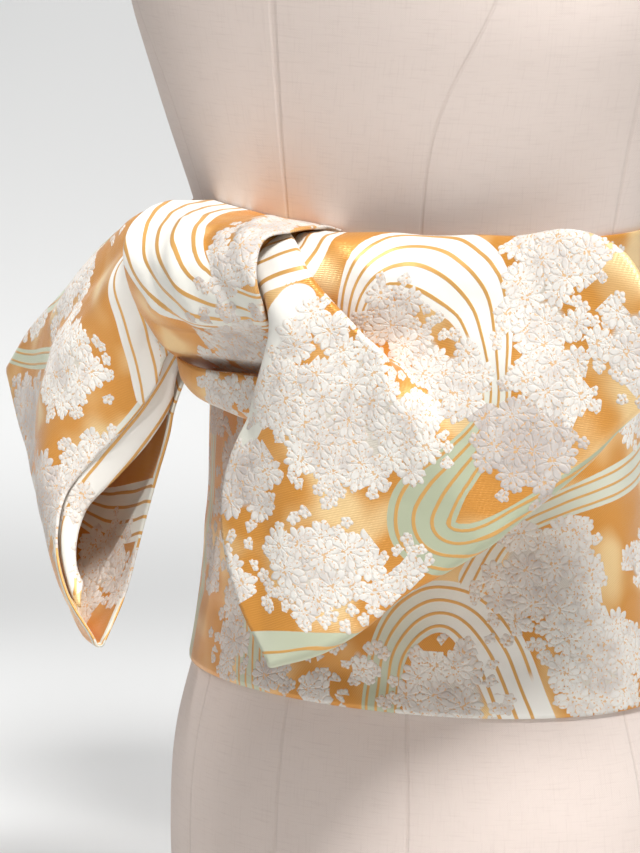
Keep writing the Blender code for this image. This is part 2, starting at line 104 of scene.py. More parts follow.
# The left wing's inner layer: the outer layer's column from which it lies under that layer, its
# rows, the rows that its free edge's whole curve would take, and the steps out to that edge.
INNER_FROM = 48
INNER_ROWS = 85
INNER_FULL_ROWS = 90
INNER_STEPS = (0.2, 0.4, 0.6, 0.8, 1)
EDGE_PLACES = 60            # places on a free edge or a wing's root or end

# ---------------- forms of the solids
FORM_COLUMNS = ("height", "half_width", "back", "front", "widest_y", "squareness")
FORM_SECTIONS = (
    (0.000, 0.157, 0.107, 0.106, 0.000, 2.0),
    (0.060, 0.159, 0.109, 0.108, 0.000, 2.0),
    (0.090, 0.159, 0.108, 0.107, 0.000, 2.0),
    (0.115, 0.157, 0.106, 0.106, 0.000, 2.0),
    (0.139, 0.150, 0.103, 0.103, 0.000, 2.0),
    (0.160, 0.143, 0.098, 0.099, 0.000, 2.0),
    (0.190, 0.136, 0.093, 0.095, 0.000, 2.0),
    (0.217, 0.131, 0.090, 0.092, 0.000, 2.0),
    (0.250, 0.127, 0.087, 0.090, 0.000, 2.0),
    (0.300, 0.126, 0.086, 0.089, 0.000, 2.0),
    (0.340, 0.125, 0.085, 0.089, 0.000, 2.0),
    (0.400, 0.137, 0.094, 0.097, 0.004, 2.0),
    (0.450, 0.151, 0.096, 0.107, 0.008, 2.3),
    (0.510, 0.172, 0.096, 0.118, 0.013, 2.5),
    (0.560, 0.178, 0.098, 0.120, 0.014, 2.6),
    (0.610, 0.179, 0.096, 0.112, 0.013, 2.7),
    (0.650, 0.180, 0.088, 0.096, 0.012, 2.7),
    (0.680, 0.172, 0.078, 0.082, 0.010, 2.5),
    (0.700, 0.148, 0.071, 0.072, 0.008, 2.3),
    (0.715, 0.110, 0.066, 0.064, 0.006, 2.1),
    (0.730, 0.078, 0.061, 0.058, 0.004, 2.0),
    (0.750, 0.063, 0.056, 0.054, 0.002, 2.0),
    (0.800, 0.058, 0.052, 0.050, 0.000, 2.0),
)
# Edges of the wings' layers, as x, y and z. Upper and lower edges run out from the knot; roots, at
# the knot, and ends run down from the upper edge.
RIGHT_CORNER = (-0.230, 0.069, 0.338)
RIGHT_TIP = (-0.066, 0.175, 0.193)
LEFT_CORNER = (0.235, 0.084, 0.301)
LEFT_TIP = (0.069, 0.168, 0.183)
RIGHT_UPPER = (
    (-ROOT_X, 0.118, 0.406), (-0.056, 0.121, 0.406), (-0.072, 0.116, 0.407), (-0.088, 0.107, 0.409),
    (-0.113, 0.095, 0.409), (-0.151, 0.084, 0.411), (-0.193, 0.073, 0.413), (-0.217, 0.068, 0.401),
    (-0.230, 0.066, 0.370), RIGHT_CORNER,
)
RIGHT_LOWER = (
    (-ROOT_X, 0.143, 0.360), (-0.0575, 0.156, 0.361), (-0.0560, 0.163, 0.351),
    (-0.048, 0.165, 0.333), (-0.036, 0.166, 0.309), (-0.028, 0.170, 0.283), (-0.028, 0.172, 0.263),
    (-0.037, 0.175, 0.239), (-0.052, 0.176, 0.211), RIGHT_TIP,
)
RIGHT_END = (
    RIGHT_CORNER, (-0.204, 0.084, 0.306), (-0.161, 0.112, 0.262), (-0.124, 0.135, 0.231),
    (-0.095, 0.157, 0.206), RIGHT_TIP,
)
RIGHT_ROOT = (
    RIGHT_UPPER[0], (-ROOT_X, 0.140, 0.407), (-ROOT_X, 0.156, 0.3995),
    (-ROOT_X, 0.161, 0.386), (-ROOT_X, 0.155, 0.371), RIGHT_LOWER[0],
)
LEFT_UPPER = (
    (ROOT_X, 0.124, 0.402), (0.072, 0.127, 0.406), (0.102, 0.118, 0.396), (0.127, 0.113, 0.382),
    (0.178, 0.097, 0.348), (0.216, 0.086, 0.322), LEFT_CORNER,
)
LEFT_LOWER = (
    (ROOT_X, 0.129, 0.345), (0.051, 0.134, 0.337), (0.058, 0.138, 0.318), (0.075, 0.147, 0.293),
    (0.094, 0.152, 0.275), (0.106, 0.157, 0.258), (0.106, 0.163, 0.234), (0.092, 0.168, 0.207),
    LEFT_TIP,
)
LEFT_END = (
    LEFT_CORNER, (0.210, 0.096, 0.273), (0.178, 0.112, 0.242), (0.142, 0.131, 0.215),
    (0.119, 0.143, 0.196), (0.094, 0.155, 0.184), LEFT_TIP,
)
LEFT_ROOT = (
    LEFT_UPPER[0], (ROOT_X, 0.144, 0.400), (ROOT_X, 0.156, 0.386),
    (ROOT_X, 0.147, 0.361), LEFT_LOWER[0],
)
LEFT_INNER_LOWER = (
    (ROOT_X, 0.123, 0.343), (0.051, 0.126, 0.331), (0.059, 0.128, 0.304), (0.066, 0.134, 0.289),
    (0.083, 0.142, 0.268), (0.099, 0.150, 0.249), (0.098, 0.158, 0.224), (0.083, 0.161, 0.206),
)
LEFT_BACK_UPPER = (
    (ROOT_X, 0.112, 0.394), (0.101, 0.096, 0.383), (0.152, 0.081, 0.358), (0.202, 0.076, 0.329),
    LEFT_CORNER,
)
LEFT_BACK_LOWER = (
    (ROOT_X, 0.114, 0.345), (0.052, 0.122, 0.322), (0.060, 0.128, 0.294), (0.066, 0.131, 0.267),
    (0.073, 0.137, 0.235), (0.075, 0.147, 0.206), LEFT_TIP,
)
RIGHT_BACK_UPPER = (
    (-ROOT_X, 0.106, 0.394), (-0.100, 0.086, 0.394), (-0.160, 0.070, 0.396), (-0.212, 0.058, 0.384),
    (-0.228, 0.062, 0.360), RIGHT_CORNER,
)
RIGHT_BACK_LOWER = (
    (-ROOT_X, 0.114, 0.345), (-0.049, 0.121, 0.322), (-0.053, 0.126, 0.294), (-0.056, 0.130, 0.267),
    (-0.060, 0.136, 0.235), (-0.064, 0.148, 0.211), RIGHT_TIP,
)
# The right wing's big pleat, from the knot outwards: share of the way out, share of the width
# at which its edge lies, how far its cloth is folded back, and the length hidden in it.
PLEAT_COLUMNS = ("out", "edge", "folded", "hidden")
PLEAT_ROWS = (
    (0.00, 0.22, 0.99, 0.004), (0.05, 0.3, 0.99, 0.006), (0.11, 0.42, 0.98, 0.010),
    (0.16, 0.5, 0.96, 0.018), (0.25, 0.505, 0.90, 0.030), (0.40, 0.478, 0.84, 0.028),
    (0.52, 0.466, 0.72, 0.014), (0.61, 0.465, 0.40, 0.003), (0.70, 0.45, 0.14, 0.000),
    (0.80, 0.43, 0.00, 0.000), (1.00, 0.43, 0.00, 0.000),
)
# The tie, from the waist up over the knot and down: each row is a line across it.
TIE_COLUMNS = ("z_left", "z_right", "y_left", "y_middle", "y_right", "x_left", "x_right")
TIE_ROWS = (
    (0.410, 0.4045, 0.104, 0.104, 0.104, 0.064, -0.037),
    (0.411, 0.4100, 0.125, 0.127, 0.125, 0.064, -0.052),
    (0.408, 0.411, 0.145, 0.150, 0.148, 0.058, -0.055),
    (0.400, 0.406, 0.161, 0.167, 0.165, 0.052, -0.052),
    (0.387, 0.395, 0.166, 0.176, 0.171, 0.050, -0.054),
    (0.373, 0.381, 0.163, 0.177, 0.171, 0.049, -0.056),
    (0.353, 0.366, 0.151, 0.168, 0.163, 0.048, -0.054),
    (0.341, 0.350, 0.141, 0.149, 0.149, 0.048, -0.050),
    (0.332, 0.338, 0.129, 0.134, 0.136, 0.046, -0.047),
    (0.327, 0.333, 0.121, 0.124, 0.126, 0.044, -0.044),
)
# The sling's lines along X, from its upper lip round to its underside.
SLING_LIP = (
    (0.0445, 0.135, 0.3345), (0.033, 0.140, 0.3335), (0.007, 0.145, 0.3325), (-0.013, 0.146, 0.333),
    (-0.040, 0.147, 0.333),
)
SLING_BELLY = (
    (0.0445, 0.131, 0.323), (0.029, 0.138, 0.319), (0.010, 0.142, 0.317), (-0.008, 0.143, 0.314),
    (-0.040, 0.141, 0.311),
)
SLING_UNDER = (
    (0.043, 0.113, 0.321), (0.025, 0.118, 0.312), (0.005, 0.120, 0.308), (-0.015, 0.120, 0.305),
    (-0.040, 0.118, 0.304),
)


# ---------------- curves and surfaces
def by_column(names, rows):
    """A table's columns by their names."""
    return dict(zip(names, np.array(rows).T))


def smooth(x):
    """0 to 1, with level ends."""
    x = np.clip(x, 0.0, 1.0)
    return x * x * (3.0 - 2.0 * x)


def unit(ways):
    """Each of an array of ways at unit length."""
    return ways / np.maximum(np.linalg.norm(ways, axis=-1, keepdims=True), 1e-12)


def lengths(line):
    """How far along a polyline each of its places lies."""
    return np.concatenate([[0], np.cumsum(np.linalg.norm(np.diff(line, axis=0), axis=1))])


def between(values, known, wanted, axis=0):
    """Values known at some places along an axis, worked out for the wanted places."""
    return np.apply_along_axis(lambda line: np.interp(wanted, known, line), axis, values)


def respaced(line, where):
    """Places on a polyline at the given shares of its length."""
    run = lengths(line)
    return between(line, run / run[-1], where)


def curve(points, count):
    """A smooth curve through the points, as count + 1 places evenly spaced along it."""
    p = np.asarray(points, float)
    at = lengths(p)
    step = np.diff(at)
    slope = np.gradient(p, at, axis=0)
    dense = np.linspace(0, at[-1], 40 * len(p))
    k = np.clip(np.searchsorted(at, dense, side="right") - 1, 0, len(p) - 2)
    h = step[k]
    f = ((dense - at[k]) / h)[:, None]
    h = h[:, None]
    line = (
        (1 + 2 * f) * (1 - f) ** 2 * p[k] + f * (1 - f) ** 2 * h * slope[k]
        + f * f * (3 - 2 * f) * p[k + 1] + f * f * (f - 1) * h * slope[k + 1]
    )
    return respaced(line, np.linspace(0, 1, count + 1))


def patch(upper, lower, root, end, rows, across):
    """A surface that fills four edges: rows run from root to end, columns from upper to lower."""
    u = np.linspace(0, 1, rows + 1)[:, None, None]
    v = across[None, :, None]
    top = curve(upper, rows)[:, None]
    low = curve(lower, rows)[:, None]
    near = respaced(curve(root, EDGE_PLACES), across)[None]
    far = respaced(curve(end, EDGE_PLACES), across)[None]
    corners = (
        (1 - u) * (1 - v) * near[:, :1] + (1 - u) * v * near[:, -1:]
        + u * (1 - v) * far[:, :1] + u * v * far[:, -1:]
    )
    return (1 - v) * top + v * low + (1 - u) * near + u * far - corners


def normals(grid, closed=False):
    """Unit normals of a grid of places, rows by columns."""
    if closed:
        across = np.roll(grid, -1, axis=1) - np.roll(grid, 1, axis=1)
    else:
        across = np.gradient(grid, axis=1)
    return unit(np.cross(np.gradient(grid, axis=0), across))


def bulged(grid, rise, power=1.0):
    """The grid billowed along its normals, most in the middle and not at its edges."""
    rows, columns = grid.shape[:2]
    u = np.sin(np.pi * np.linspace(0, 1, rows)) ** power
    v = np.sin(np.pi * np.linspace(0, 1, columns))
    return grid + rise * u[:, None, None] * v[None, :, None] * normals(grid)


def beside(line):
    """Unit ways square to a flat line, to its right."""
    tangent = np.gradient(line, axis=0)
    return unit(np.stack([tangent[:, 1], -tangent[:, 0]], axis=1))


def form_section(z, angles):
    """The dress form's outline at a height: angle 0 at +X, a quarter turn at the back."""
    table = by_column(FORM_COLUMNS, FORM_SECTIONS)
    width, back, front, widest, square = (
        np.interp(z, table["height"], table[name]) for name in FORM_COLUMNS[1:]
    )
    c, s = np.cos(angles), np.sin(angles)
    x = width * np.sign(c) * np.abs(c) ** (2 / square)
    y = np.sign(s) * np.abs(s) ** (2 / square) * np.where(s > 0, back, front)
    off_centre = np.abs(np.degrees(np.mod(angles, 2 * np.pi)) - 270.0) - BUST_ANGLE
    bust = np.exp(-(off_centre / BUST_SPREAD[0]) ** 2) * np.exp(-((z - BUST_Z) / BUST_SPREAD[1]) ** 2)
    return np.stack([x, y + widest - BUST_RISE * bust, np.full_like(x, z)], axis=1)


def smooth_sections(heights, angles):
    """Sections at the heights, eased along the height so that the table's rows don't show."""
    sections = []
    for z in heights:
        near = np.clip(z + np.linspace(-SECTION_EASE, SECTION_EASE, 9), 0.0, FORM_HEIGHT)
        section = np.mean([form_section(height, angles) for height in near], axis=0)
        section[:, 2] = z
        sections.append(section)
    return np.array(sections)


def round_angles(count):
    """The angles of a ring that starts and ends at the front centre."""
    return -np.pi / 2 + np.linspace(0, 2 * np.pi, count + 1)


def back_line(z, x, skin=0.0):
    """How far back the dress form reaches at a height and a place across, plus a skin over it."""
    ring = smooth_sections([z], np.linspace(0.02, np.pi - 0.02, 121))[0, :, :2]
    ring = ring + beside(ring) * skin
    return float(np.interp(x, ring[::-1, 0], ring[::-1, 1]))


def wrap_skin(z):
    """Distance from the dress form to the outer face of the wrap at a height."""
    share = (z - WRAP_HEM_Z) / (WRAP_RIM_Z - WRAP_HEM_Z)
    return WRAP_GAP + CLOTH + WRAP_EASE * np.sin(np.pi * share)


# ---------------- cloth laid flat
FLAT_LEVELS = ((8, 1500), (4, 700), (2, 350))   # steps between the places kept, and rounds
OVERSHOOT = 1.3         # how much of what the threads ask for each round moves


def kept(count, step):
    """Every step-th place of a row of places, and always the last."""
    return np.unique(np.append(np.arange(0, count, step), count - 1))


def filled_in(values, rows, columns, all_rows, all_columns):
    """Values known on some rows and columns, worked out for all of them."""
    return between(between(values, rows, all_rows), columns, all_columns, axis=1)


def threads(cloth):
    """Pairs of neighbouring places, along, across and on both biases, and their distances."""
    pairs = (
        (np.s_[:-1, :], np.s_[1:, :]),
        (np.s_[:, :-1], np.s_[:, 1:]),
        (np.s_[:-1, :-1], np.s_[1:, 1:]),
        (np.s_[1:, :-1], np.s_[:-1, 1:]),
    )
    return [(a, b, np.linalg.norm(cloth[b] - cloth[a], axis=2, keepdims=True)) for a, b in pairs]


def relaxed(cloth, flat, rounds):
    """The flat cloth let move until the distances between its threads are those of the hung one."""
    edges = threads(cloth)
    count = np.zeros(cloth.shape[:2] + (1,))
    for a, b, _ in edges:
        count[a] += 1
        count[b] += 1
    for _ in range(rounds):
        move = np.zeros_like(flat)
        for a, b, length in edges:
            span = flat[b] - flat[a]
            now = np.maximum(np.linalg.norm(span, axis=2, keepdims=True), 1e-9)
            pull = span * (1 - length / now) / 2
            move[a] += pull
            move[b] -= pull
        flat = flat + OVERSHOOT * move / count
    return flat


def laid_flat(grid):
    """A hung cloth's places laid flat, in metres: x away from its first row, y across it."""
    flat = rows = columns = None
    for step, rounds in FLAT_LEVELS:
        new_rows, new_columns = kept(grid.shape[0], step), kept(grid.shape[1], step)
        cloth = grid[np.ix_(new_rows, new_columns)]
        if flat is None:
            out = np.mean([lengths(cloth[:, j]) for j in range(cloth.shape[1])], axis=0)
            across = np.array([lengths(line) - lengths(line)[-1] / 2 for line in cloth])
            flat = np.stack([np.repeat(out[:, None], cloth.shape[1], axis=1), across], axis=2)
        else:
            flat = filled_in(flat, rows, columns, new_rows, new_columns)
        flat = relaxed(cloth, flat, rounds)
        rows, columns = new_rows, new_columns
    flat = filled_in(flat, rows, columns, np.arange(grid.shape[0]), np.arange(grid.shape[1]))
    middle = flat.shape[1] // 2
    ahead = unit(flat[len(flat) // 4, middle] - flat[0, middle])
    return (flat - flat[0, middle]) @ np.array([[ahead[0], -ahead[1]], [ahead[1], ahead[0]]])


def unrolled(grid, down):
    """A tube's places laid flat: x round its middle row, y at the given distances along it."""
    return np.stack(np.meshgrid(lengths(grid[len(grid) // 2]), down), axis=2)


# ---------------- creases
CREASE_COLUMNS = ("from_x", "from_y", "to_x", "to_y", "rise", "width")


def creased(grid, flat, creases, closed):
    """The grid with soft ridges and troughs, each between two places on the flat cloth."""
    lift = np.zeros(grid.shape[:2])
    for row in creases:
        fold = dict(zip(CREASE_COLUMNS, np.array(row) / 1000))
        start = np.array([fold["from_x"], fold["from_y"]])
        run = np.array([fold["to_x"], fold["to_y"]]) - start
        along = ((flat - start) @ run) / (run @ run)
        off = np.linalg.norm(flat - start - np.clip(along, 0, 1)[..., None] * run, axis=2)
        lift += fold["rise"] * np.exp(-(off / fold["width"]) ** 2)
    return grid + lift[..., None] * normals(grid, closed)


# ---------------- pattern on the cloth
# A ball of flowers is x, y, radius and greyness: 0 white, 1 grey, and over 1 duller still, which is
# painted shade on balls that lie in shadow. A stream is its number of gold lines and its course: x, y,
# half width, and 0 white to 1 mint.
FAR_AWAY = (9000, 9000, 1, 0.0)
NONE = 0.2              # stands for a stream without gold lines
COURSE_STEPS = 14       # places on a stream's middle line for each row of its course
COURSE_REACH = 5        # places on each side over which that line is eased
COLOUR_WEIGHT = 0.001   # how little a change of colour counts when those places are spaced
LEAST_HALF = 0.002      # the least half width, in metres, that a stream is drawn with
TRIM_HALF = 3.5         # half width in millimetres of the pale stream along a woven edge
TRIM_MINT = 0.3
TRIM_STEP = 8           # grid rows between the places of that stream


def in_metres(rows):
    """A table of places on the cloth as an array, with its first three columns in metres."""
    table = np.array(rows, float)
    table[:, :3] /= 1000
    return table


def from_balls(place, balls):
    """Per face corner: the way from each of the two nearest balls, their radii, and greyness, which over 1
    is painted shade.

    Both balls are chosen per face, so that the numbers run evenly across it.
    """
    table = in_metres((*balls, FAR_AWAY, FAR_AWAY))
    outside = np.linalg.norm(place.mean(axis=1)[:, None] - table[None, :, :2], axis=2) - table[:, 2]
    nearest = table[np.argsort(outside, axis=1)[:, :2]]
    found = []
    for k in range(2):
        ball = nearest[:, k, None]
        radius = np.broadcast_to(ball[..., 2:3], place.shape[:2] + (1,))
        found.append(np.concatenate([place - ball[..., :2], radius], axis=2))
    grey_and_shade = np.broadcast_to(nearest[:, 0, 3, None], place.shape[:2])
    return found[0], found[1], grey_and_shade


def eased(line, reach):
    """A line of places, each moved to the mean of those round it, twice over; its ends run on."""
    for _ in range(2):
        before = line[0] + (line[0] - line[1]) * np.arange(reach, 0, -1)[:, None]
        after = line[-1] + (line[-1] - line[-2]) * np.arange(1, reach + 1)[:, None]
        longer = np.concatenate([before, line, after])
        line = np.mean([longer[k:k + len(line)] for k in range(2 * reach + 1)], axis=0)
    return line


def along_course(flat, lines, course):
    """Per place: across (-1 and 1 at the banks), metres outside, half width, metres along, mint."""
    weights = np.array([1.0, 1.0, 1.0, COLOUR_WEIGHT])
    line = curve(in_metres(course) * weights, COURSE_STEPS * len(course))
    line = eased(line, COURSE_REACH) / weights
    middle = line[:, :2]
    tangent = unit(np.gradient(middle, axis=0))
    distance = np.linalg.norm(flat[:, :, None, :] - middle, axis=3)
    k = np.argmin(distance, axis=2)
    off = flat - middle[k]
    across = tangent[k][..., 0] * off[..., 1] - tangent[k][..., 1] * off[..., 0]
    half = np.maximum(line[k, 2], LEAST_HALF)
    outside = distance.min(axis=2) - half
    lines = np.full(outside.shape, float(lines))
    return np.stack([across / half, outside, half, lengths(middle)[k], line[k, 3], lines], axis=2)


def from_streams(flat, rows, columns, courses):
    """Per face corner: its place in the stream that lies nearest to the face."""
    found = np.array([along_course(flat, *course)[rows, columns] for course in courses])
    nearest = np.argmin(found[..., 1].mean(axis=2), axis=0)
    return found[nearest, np.arange(len(nearest))]


def edge_trim(flat, rows):
    """A narrow pale stream with one gold line along the first rows of a cloth's last column."""
    places = 1000 * flat[:rows:TRIM_STEP, -1]
    return (1, tuple((x, y, TRIM_HALF, TRIM_MINT) for x, y in places.tolist()))


# ---------------- making a piece
def in_scene(name, data, place=(0.0, 0.0, 0.0), rotation=(0.0, 0.0, 0.0)):
    """A new object in the scene."""
    thing = bpy.data.objects.new(name, data)
    thing.location = place
    thing.rotation_euler = rotation
    bpy.context.scene.collection.objects.link(thing)
    return thing


def corner_vertices(mesh):
    """The vertex at each face corner, four to a face."""
    found = np.zeros(len(mesh.loops), int)
    mesh.loops.foreach_get("vertex_index", found)
    return found.reshape(-1, 4)


def grid_mesh(name, grid, flat, closed):
    """A grid set on its places with its UV map, and its face corners' rows and columns."""
    rows, columns = grid.shape[:2]
    mesh = bpy.data.meshes.new(name)
    work = bmesh.new()
    bmesh.ops.create_grid(work, x_segments=columns - 1, y_segments=rows - 1, size=0.5)
    uv = work.loops.layers.uv.new("cloth")
    kept_row = work.verts.layers.int.new("row")
    kept_column = work.verts.layers.int.new("column")
    for vertex in work.verts:
        i = round((vertex.co.y + 0.5) * (rows - 1))
        j = round((vertex.co.x + 0.5) * (columns - 1))
        vertex.co = grid[i, j]
        vertex[kept_row] = i
        vertex[kept_column] = j
        for corner in vertex.link_loops:
            corner[uv].uv = flat[i, j]
    if closed:
        ends = [vertex for vertex in work.verts if vertex[kept_column] in (0, columns - 1)]
        bmesh.ops.remove_doubles(work, verts=ends, dist=1e-5)
    work.to_mesh(mesh)
    work.free()
    mesh.shade_smooth()
    found = []
    for layer in ("row", "column"):
        number = np.zeros(len(mesh.vertices), int)
        mesh.attributes[layer].data.foreach_get("value", number)
        mesh.attributes.remove(mesh.attributes[layer])
        found.append(number[corner_vertices(mesh)])
    i, j = found
    low, high = j.min(axis=1, keepdims=True), j.max(axis=1, keepdims=True)
    j = np.where((high - low > 1) & (low == 0) & (j == 0), columns - 1, j)
    j = np.where((high - low > 1) & (low > 0) & (j == high), 0, j)
    return mesh, i, j


def keep(mesh, name, values):
    """Three numbers per face corner, for the piece's finish to read."""
    layer = mesh.attributes.new(name, "FLOAT_VECTOR", "CORNER")
    layer.data.foreach_set("vector", np.ascontiguousarray(values, np.float32).ravel())


def thicken(piece, on_edge):
    """The cloth's thickness, less at the face corners on a free edge."""
    thin = set(corner_vertices(piece.data)[on_edge].tolist())
    full = piece.vertex_groups.new(name="full")
    full.add([k for k in range(len(piece.data.vertices)) if k not in thin], 1.0, "REPLACE")
    wall = piece.modifiers.new("thickness", "SOLIDIFY")
    wall.thickness = CLOTH
    wall.offset = 0.0
    wall.use_even_offset = False
    wall.vertex_group = "full"
    wall.thickness_vertex_group = EDGE_SHARE


def shell(name, grid, flat, balls, courses, closed):
    """A shell of cloth with its pattern's layout."""
    mesh, i, j = grid_mesh(name, grid, flat, closed)
    ball, next_ball, grey_and_shade = from_balls(flat[i, j], balls)
    stream = from_streams(flat, i, j, courses)
    keep(mesh, "ball", ball)
    keep(mesh, "next_ball", next_ball)
    keep(mesh, "stream", stream[..., :3])
    keep(mesh, "woven", np.stack([stream[..., 3], stream[..., 4], grey_and_shade], axis=2))
    keep(mesh, "lines", np.stack([stream[..., 5]] * 3, axis=2))
    piece = in_scene(name, mesh)
    on_edge = (i == 0) | (i == grid.shape[0] - 1)
    if not closed:
        on_edge |= (j == 0) | (j == grid.shape[1] - 1)
    thicken(piece, on_edge)
    return piece


def dress(piece, finish, node):
    """The piece gets its finish, rides on the body and stands for its solid."""
    piece.data.materials.append(finish)
    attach(piece, "root")
    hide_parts(node)
    return piece


# ---------------- shapes of the pieces
def wrap_grid():
    """Middle plane of the turn round the body, from a join at the front centre and round to it."""
    heights = np.linspace(WRAP_RIM_Z, WRAP_HEM_Z, WRAP_MESH[0] + 1)
    grid = smooth_sections(heights, round_angles(WRAP_MESH[1]))
    across = np.gradient(grid, axis=1)
    across[:, 0] = across[:, -1] = grid[:, 1] - grid[:, -2]
    outward = unit(np.cross(across, np.array([0.0, 0.0, 1.0])))
    return grid + outward * (wrap_skin(heights)[:, None, None] - CLOTH / 2)


def tie_grid():
    """The tie: each row of its table is a line across the band, bowed out in its middle."""
    rows, columns = TIE_MESH
    v = np.linspace(0, 1, columns + 1)
    lines = []
    for row in TIE_ROWS:
        at = dict(zip(TIE_COLUMNS, row))
        bow = at["y_middle"] - (at["y_left"] + at["y_right"]) / 2
        x, y, z = (at[c + "_left"] + (at[c + "_right"] - at[c + "_left"]) * v for c in "xyz")
        lines.append(np.stack([x, y + bow * np.sin(np.pi * v) ** TIE_BOW, z], axis=1))
    for place in lines[0]:
        place[1] = back_line(place[2], place[0]) + SEAM_GAP + FACET_EASE
    lines = np.array(lines)
    return np.stack([curve(lines[:, c], rows) for c in range(columns + 1)], axis=1)


def sling_grid():
    """A crescent-shaped fold: lip, belly, underside and an edge tucked in against the wrap."""
    along, across = SLING_MESH
    lines = [curve(p, along) for p in (SLING_LIP, SLING_BELLY, SLING_UNDER)]
    tucked = lines[-1].copy()
    for place in tucked:
        place[2] += SLING_TUCK
        place[1] = back_line(place[2], place[0], wrap_skin(place[2])) + SEAM_GAP + FACET_EASE
    lines.append(tucked)
    return np.stack([curve([line[i] for line in lines], across) for i in range(along + 1)], axis=0)


def knot_ring(tie, x):
    """The knot's outline at a place along X: close under the tie, and flat against the wrap."""
    under = []
    for row in tie[TIE_OVER_KNOT]:
        row = row[np.argsort(row[:, 0])]
        under.append(between(row[:, 1:], row[:, 0], x))
    under = np.array(under)
    under = under + beside(under) * (CLOTH + SEAM_GAP + TIE_ROOM)
    low = under[:, 1].min() + KNOT_BACK[0]
    high = under[:, 1].max() - KNOT_BACK[1]
    back = [
        (back_line(z, x, wrap_skin(z)) + CLOTH / 2 + SEAM_GAP + FACET_EASE, z)
        for z in np.linspace(low, high, KNOT_BACK_PLACES)
    ]
    sides = KNOT_MESH[1]
    ring = respaced(np.concatenate([under, back, under[:1]]), np.linspace(0, 1, sides + 1))
    return np.column_stack([np.full(sides + 1, x), ring])


def knot_grid():
    """The gathered cloth inside the tie, as rings along X that close in at both ends."""
    sections, sides = KNOT_MESH
    half = KNOT_HALF - CLOTH / 2
    tie = tie_grid()
    rings = np.array([knot_ring(tie, x) for x in np.linspace(half, -half, sections + 1)])
    centre = rings[:, :-1].mean(axis=1, keepdims=True)
    round_it = np.linspace(0, 2 * np.pi, sides + 1)
    folds = 0.5 + sum(share * np.cos(number * round_it + turn) for share, number, turn in GATHERS)
    rings += (centre - rings) * (GATHER * folds)[None, :, None]
    first, last = (
        [centre[k] + (rings[k] - centre[k]) * size for size in KNOT_END_RINGS] for k in (0, -1)
    )
    return np.concatenate([first, rings, last[::-1]])


def pleat_section(fold, width):
    """One row across the pleated wing: how far across each place lies, and how high it stands."""
    flat_share = 1 - fold["folded"]
    angle = math.pi * fold["folded"]
    turn = PLEAT_RADIUS * angle + PLEAT_SOFTENS * flat_share ** 2
    lap = fold["hidden"] + PLEAT_SPARE * flat_share
    first = np.linspace(0, angle, TURN_STEPS)
    bend = np.concatenate([first, np.full(LAP_STEPS, angle), first[::-1]])
    steps = (TURN_STEPS, LAP_STEPS, TURN_STEPS)
    step = np.repeat([turn / TURN_STEPS, lap / LAP_STEPS, turn / TURN_STEPS], steps)
    across = np.concatenate([[0], np.cumsum(np.cos(bend) * step)])
    rise = np.concatenate([[0], np.cumsum(np.sin(bend) * step)])
    start = fold["edge"] * width - across.min()
    across = across + start
    above = np.linspace(0, start, BESIDE_PLEAT[0] + 1)[:-1]
    below = np.linspace(across[-1], width, BESIDE_PLEAT[1] + 1)[1:]
    depth = rise[-1]
    height = np.concatenate([-depth * smooth(above / start), rise - depth, np.zeros(len(below))])
    return np.concatenate([above, across, below]), height


def pleated(grid):
    """The right wing's front layer with its big pleat: the lower part laps over the upper part."""
    table = by_column(PLEAT_COLUMNS, PLEAT_ROWS)
    facing = -normals(grid)
    rows = []
    for i, out in enumerate(np.linspace(0, 1, len(grid))):
        fold = {name: np.interp(out, table["out"], table[name]) for name in PLEAT_COLUMNS[1:]}
        run = lengths(grid[i])
        across, height = pleat_section(fold, run[-1])
        rows.append(between(grid[i], run, across) + between(facing[i], run, across) * height[:, None])
    rows = np.array(rows)
    for _ in range(PLEAT_EASING):
        rows[1:-1] = (rows[:-2] + 2 * rows[1:-1] + rows[2:]) / 4
    return rows


def loop(front, back, side, reach):
    """Front and back layer of a wing, joined round the soft fold at its end.

    side is 1 where the front layer's normals point away from the back layer, else -1, and reach
    is the number of rows over which each layer's direction is taken.
    """
    radius = np.linspace(END_FOLD, TIP_FOLD, front.shape[1])[:, None]
    edge = unit(np.gradient(front[-1], axis=0))
    outward = unit(front[-1] - front[-1 - reach[0]]) + unit(back[-1] - back[-1 - reach[1]])
    outward = unit(outward - (outward * edge).sum(axis=1, keepdims=True) * edge)
    apart = np.cross(outward, edge) * side
    centre = front[-1] - outward * (radius + CLOTH / 2)
    for layer, sign in ((front, 1), (back, -1)):
        shift = centre + apart * radius * sign - layer[-1]
        share = np.linspace(0, 1, len(layer))[:, None, None]
        layer += shift * smooth((share - STRAIGHT_SHARE) / (1 - STRAIGHT_SHARE))
    turn = [
        centre + radius * (apart * math.cos(a) + outward * math.sin(a))
        for a in np.linspace(0, np.pi, TURN_STEPS)[1:-1]
    ]
    return np.concatenate([front, np.array(turn), back[::-1]])


def left_front():
    """The left wing's outer layer."""
    rows, columns = LEFT_MESH
    across = np.linspace(0, 1, columns + 1)
    return bulged(patch(LEFT_UPPER, LEFT_LOWER, LEFT_ROOT, LEFT_END, rows, across), LEFT_BILLOW)


def back_layer(upper, lower, end, rows, across):
    """A wing's back layer, from the knot to the wing's end."""
    root = (upper[0], (upper[0][0], *BACK_ROOT_MIDDLE), lower[0])
    return patch(upper, lower, root, end, rows, across)


def left_grid():
    """The left wing: its outer layer and, round the fold at its end, its back layer."""
    across = np.linspace(0, 1, LEFT_MESH[1] + 1)
    back = back_layer(LEFT_BACK_UPPER, LEFT_BACK_LOWER, LEFT_END, LEFT_BACK_ROWS, across)
    return loop(left_front(), back, side=1, reach=(18, 12))


